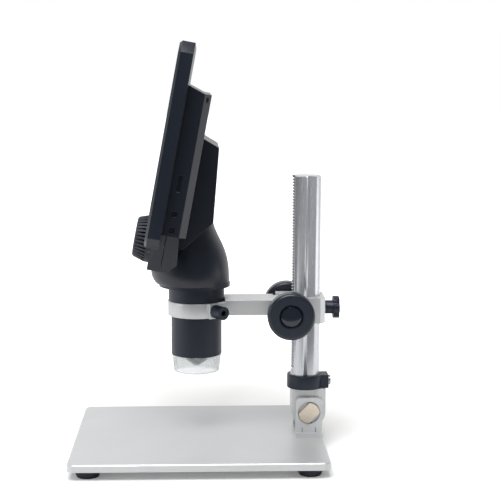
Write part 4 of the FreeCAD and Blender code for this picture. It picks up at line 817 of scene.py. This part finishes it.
@dataclass
class Camera:
    """The photograph's view: a place beside the post axis and three turns."""

    lens_mm: float = 89.08
    sensor_mm: float = 36.0
    clip_m: float = 20.0
    ahead_of_post_mm: float = 72.886
    distance_mm: float = 842.866
    above_plate_mm: float = 245.723
    down_deg: float = 7.866
    right_deg: float = 2.329
    roll_deg: float = 0.183

    def build(self) -> None:
        """Place the camera and make it the scene's."""
        low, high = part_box("post_column")
        plate_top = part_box("base_plate")[1].z
        data = bpy.data.cameras.new("camera")
        data.lens = self.lens_mm
        data.sensor_width = self.sensor_mm
        data.clip_end = self.clip_m
        camera = bpy.data.objects.new("camera", data)
        bpy.context.scene.collection.objects.link(camera)
        down, right = math.radians(self.down_deg), math.radians(self.right_deg)
        ahead = Vector((math.sin(right) * math.cos(down), math.cos(right) * math.cos(down), -math.sin(down)))
        side = Vector((math.cos(right), -math.sin(right), 0.0))
        up = side.cross(ahead)
        roll = math.radians(self.roll_deg)
        turned_side = side * math.cos(roll) + up * math.sin(roll)
        turned_up = up * math.cos(roll) - side * math.sin(roll)
        spot = Vector(((low.x + high.x) / 2 - self.ahead_of_post_mm * MM, -self.distance_mm * MM,
                       plate_top + self.above_plate_mm * MM))
        rows = [(turned_side[i], turned_up[i], -ahead[i], spot[i]) for i in range(3)]
        camera.matrix_world = Matrix((*rows, (0, 0, 0, 1)))
        bpy.context.scene.camera = camera


@dataclass(frozen=True)
class Softbox:
    """A square soft light: its place and edge length in metres, and its power in watts."""

    name: str
    spot: Corner
    side: float
    power: float

    def build(self, aim: Corner) -> None:
        """Hang the light so that it faces the aim.

        Args:
            aim: the point it faces, in metres.
        """
        data = bpy.data.lights.new(self.name, "AREA")
        data.shape = "SQUARE"
        data.size = self.side
        data.energy = self.power
        light = bpy.data.objects.new(self.name, data)
        light.location = self.spot
        light.rotation_mode = "QUATERNION"
        light.rotation_quaternion = (Vector(aim) - Vector(self.spot)).to_track_quat("-Z", "Y")
        bpy.context.scene.collection.objects.link(light)


@dataclass
class Studio:
    """White floor and soft light.

    The floor glows from least_glow under the object to full further out. Light that isn't seen directly is
    dimmer: side_glow of it from the floor, and camera_side of it from where the camera stands. The sky
    brightens between dim_until and bright_from, which are the Y part of its direction.
    """

    floor_half_m: float = 8.0
    floor_front_m: float = 0.3
    glow_from_m: float = 0.12
    glow_full_m: float = 0.45
    least_glow: float = 0.12
    side_glow: float = 0.45
    camera_side: float = 0.17
    dim_until: float = -0.2
    bright_from: float = 0.75
    aim_m: Corner = (0.0, 0.0, 0.13)
    lights: tuple[Softbox, ...] = (
        Softbox("top_softbox", (-0.15, -0.7, 1.35), 0.8, 20.0),
        Softbox("left_softbox", (-1.4, -0.35, 0.5), 0.5, 4.0),
        Softbox("right_card", (0.62, 0.04, 0.03), 0.25, 0.24))

    def build(self) -> None:
        """Lay the floor, hang the lights and set the surroundings."""
        mesh = bpy.data.meshes.new("studio_floor")
        half, front = self.floor_half_m, self.floor_front_m
        mesh.from_pydata([(-half, -front, 0), (half, -front, 0), (half, half, 0), (-half, half, 0)], [],
                         [(0, 1, 2, 3)])
        floor = bpy.data.objects.new("studio_floor", mesh)
        bpy.context.scene.collection.objects.link(floor)
        mesh.materials.append(self.paper())
        for light in self.lights:
            light.build(self.aim_m)
        self.sky()
        bpy.context.scene.view_settings.view_transform = "Standard"

    def paper(self) -> bpy.types.Material:
        """White paper that glows: dimly under the object, as painted shade round its real shadow, and
        evenly at full strength further out.

        Returns:
            The floor's material.
        """
        material = FLOOR_PAPER.paint()
        tree = material.node_tree
        surface = next(node for node in tree.nodes if node.type == "BSDF_PRINCIPLED")
        place = add_node(tree, "ShaderNodeTexCoord")
        away = add_node(tree, "ShaderNodeVectorMath", {0: place.outputs["Object"]}, operation="LENGTH")
        # Painted shade: the glow is dimmed near the object round its real shadow, and rises to an evenly
        # white floor.
        glow = add_node(tree, "ShaderNodeMapRange", {
            "Value": away.outputs["Value"], "From Min": self.glow_from_m, "From Max": self.glow_full_m,
            "To Min": self.least_glow, "To Max": 1.0}, interpolation_type="SMOOTHSTEP")
        path = add_node(tree, "ShaderNodeLightPath")
        seen = add_node(tree, "ShaderNodeMapRange", {
            "Value": path.outputs["Is Camera Ray"], "To Min": self.side_glow, "To Max": 1.0})
        strength = add_node(tree, "ShaderNodeMath", {
            0: glow.outputs["Result"], 1: seen.outputs["Result"]}, operation="MULTIPLY")
        tree.links.new(strength.outputs["Value"], surface.inputs["Emission Strength"])
        surface.inputs["Emission Color"].default_value = linear("#FFFFFF")
        return material

    def sky(self) -> None:
        """Set white surroundings that are dimmer on the side where the camera stands."""
        world = bpy.data.worlds.new("studio_air")
        world.use_nodes = True
        tree = world.node_tree
        tree.nodes.clear()
        place = add_node(tree, "ShaderNodeTexCoord")
        parts = add_node(tree, "ShaderNodeSeparateXYZ", {"Vector": place.outputs["Generated"]})
        side = add_node(tree, "ShaderNodeMapRange", {
            "Value": parts.outputs["Y"], "From Min": self.dim_until, "From Max": self.bright_from,
            "To Min": self.camera_side, "To Max": 1.0}, interpolation_type="SMOOTHSTEP")
        path = add_node(tree, "ShaderNodeLightPath")
        strength = add_node(tree, "ShaderNodeMath", {
            0: path.outputs["Is Camera Ray"], 1: side.outputs["Result"]}, operation="MAXIMUM")
        air = add_node(tree, "ShaderNodeBackground", {
            "Color": linear("#FFFFFF"), "Strength": strength.outputs["Value"]})
        add_node(tree, "ShaderNodeOutputWorld", {"Surface": air.outputs["Background"]})
        bpy.context.scene.world = world


def paint_frame() -> None:
    """Give every CAD node the finish of its material slot."""
    slots = {part["node"]: part["material_slot"] for part in frame["record"]["subparts"]}
    for name, thing in frame["nodes"].items():
        finish = SLOT_FINISHES[slots[name]]
        for number in range(max(len(thing.data.materials), 1)):
            if number < len(thing.data.materials):
                thing.data.materials[number] = finish.paint()
            else:
                thing.data.materials.append(finish.paint())
        log.info("node %s finished as %s", name, finish.name)


def main() -> None:
    """Build the view, the studio and every sub-assembly in order."""
    Camera().build()
    Studio().build()
    paint_frame()
    for assembly in (Stand(), FocusDrive(), Housing(), LensSnout()):
        assembly.dress()


if __name__ == "__main__":
    main()
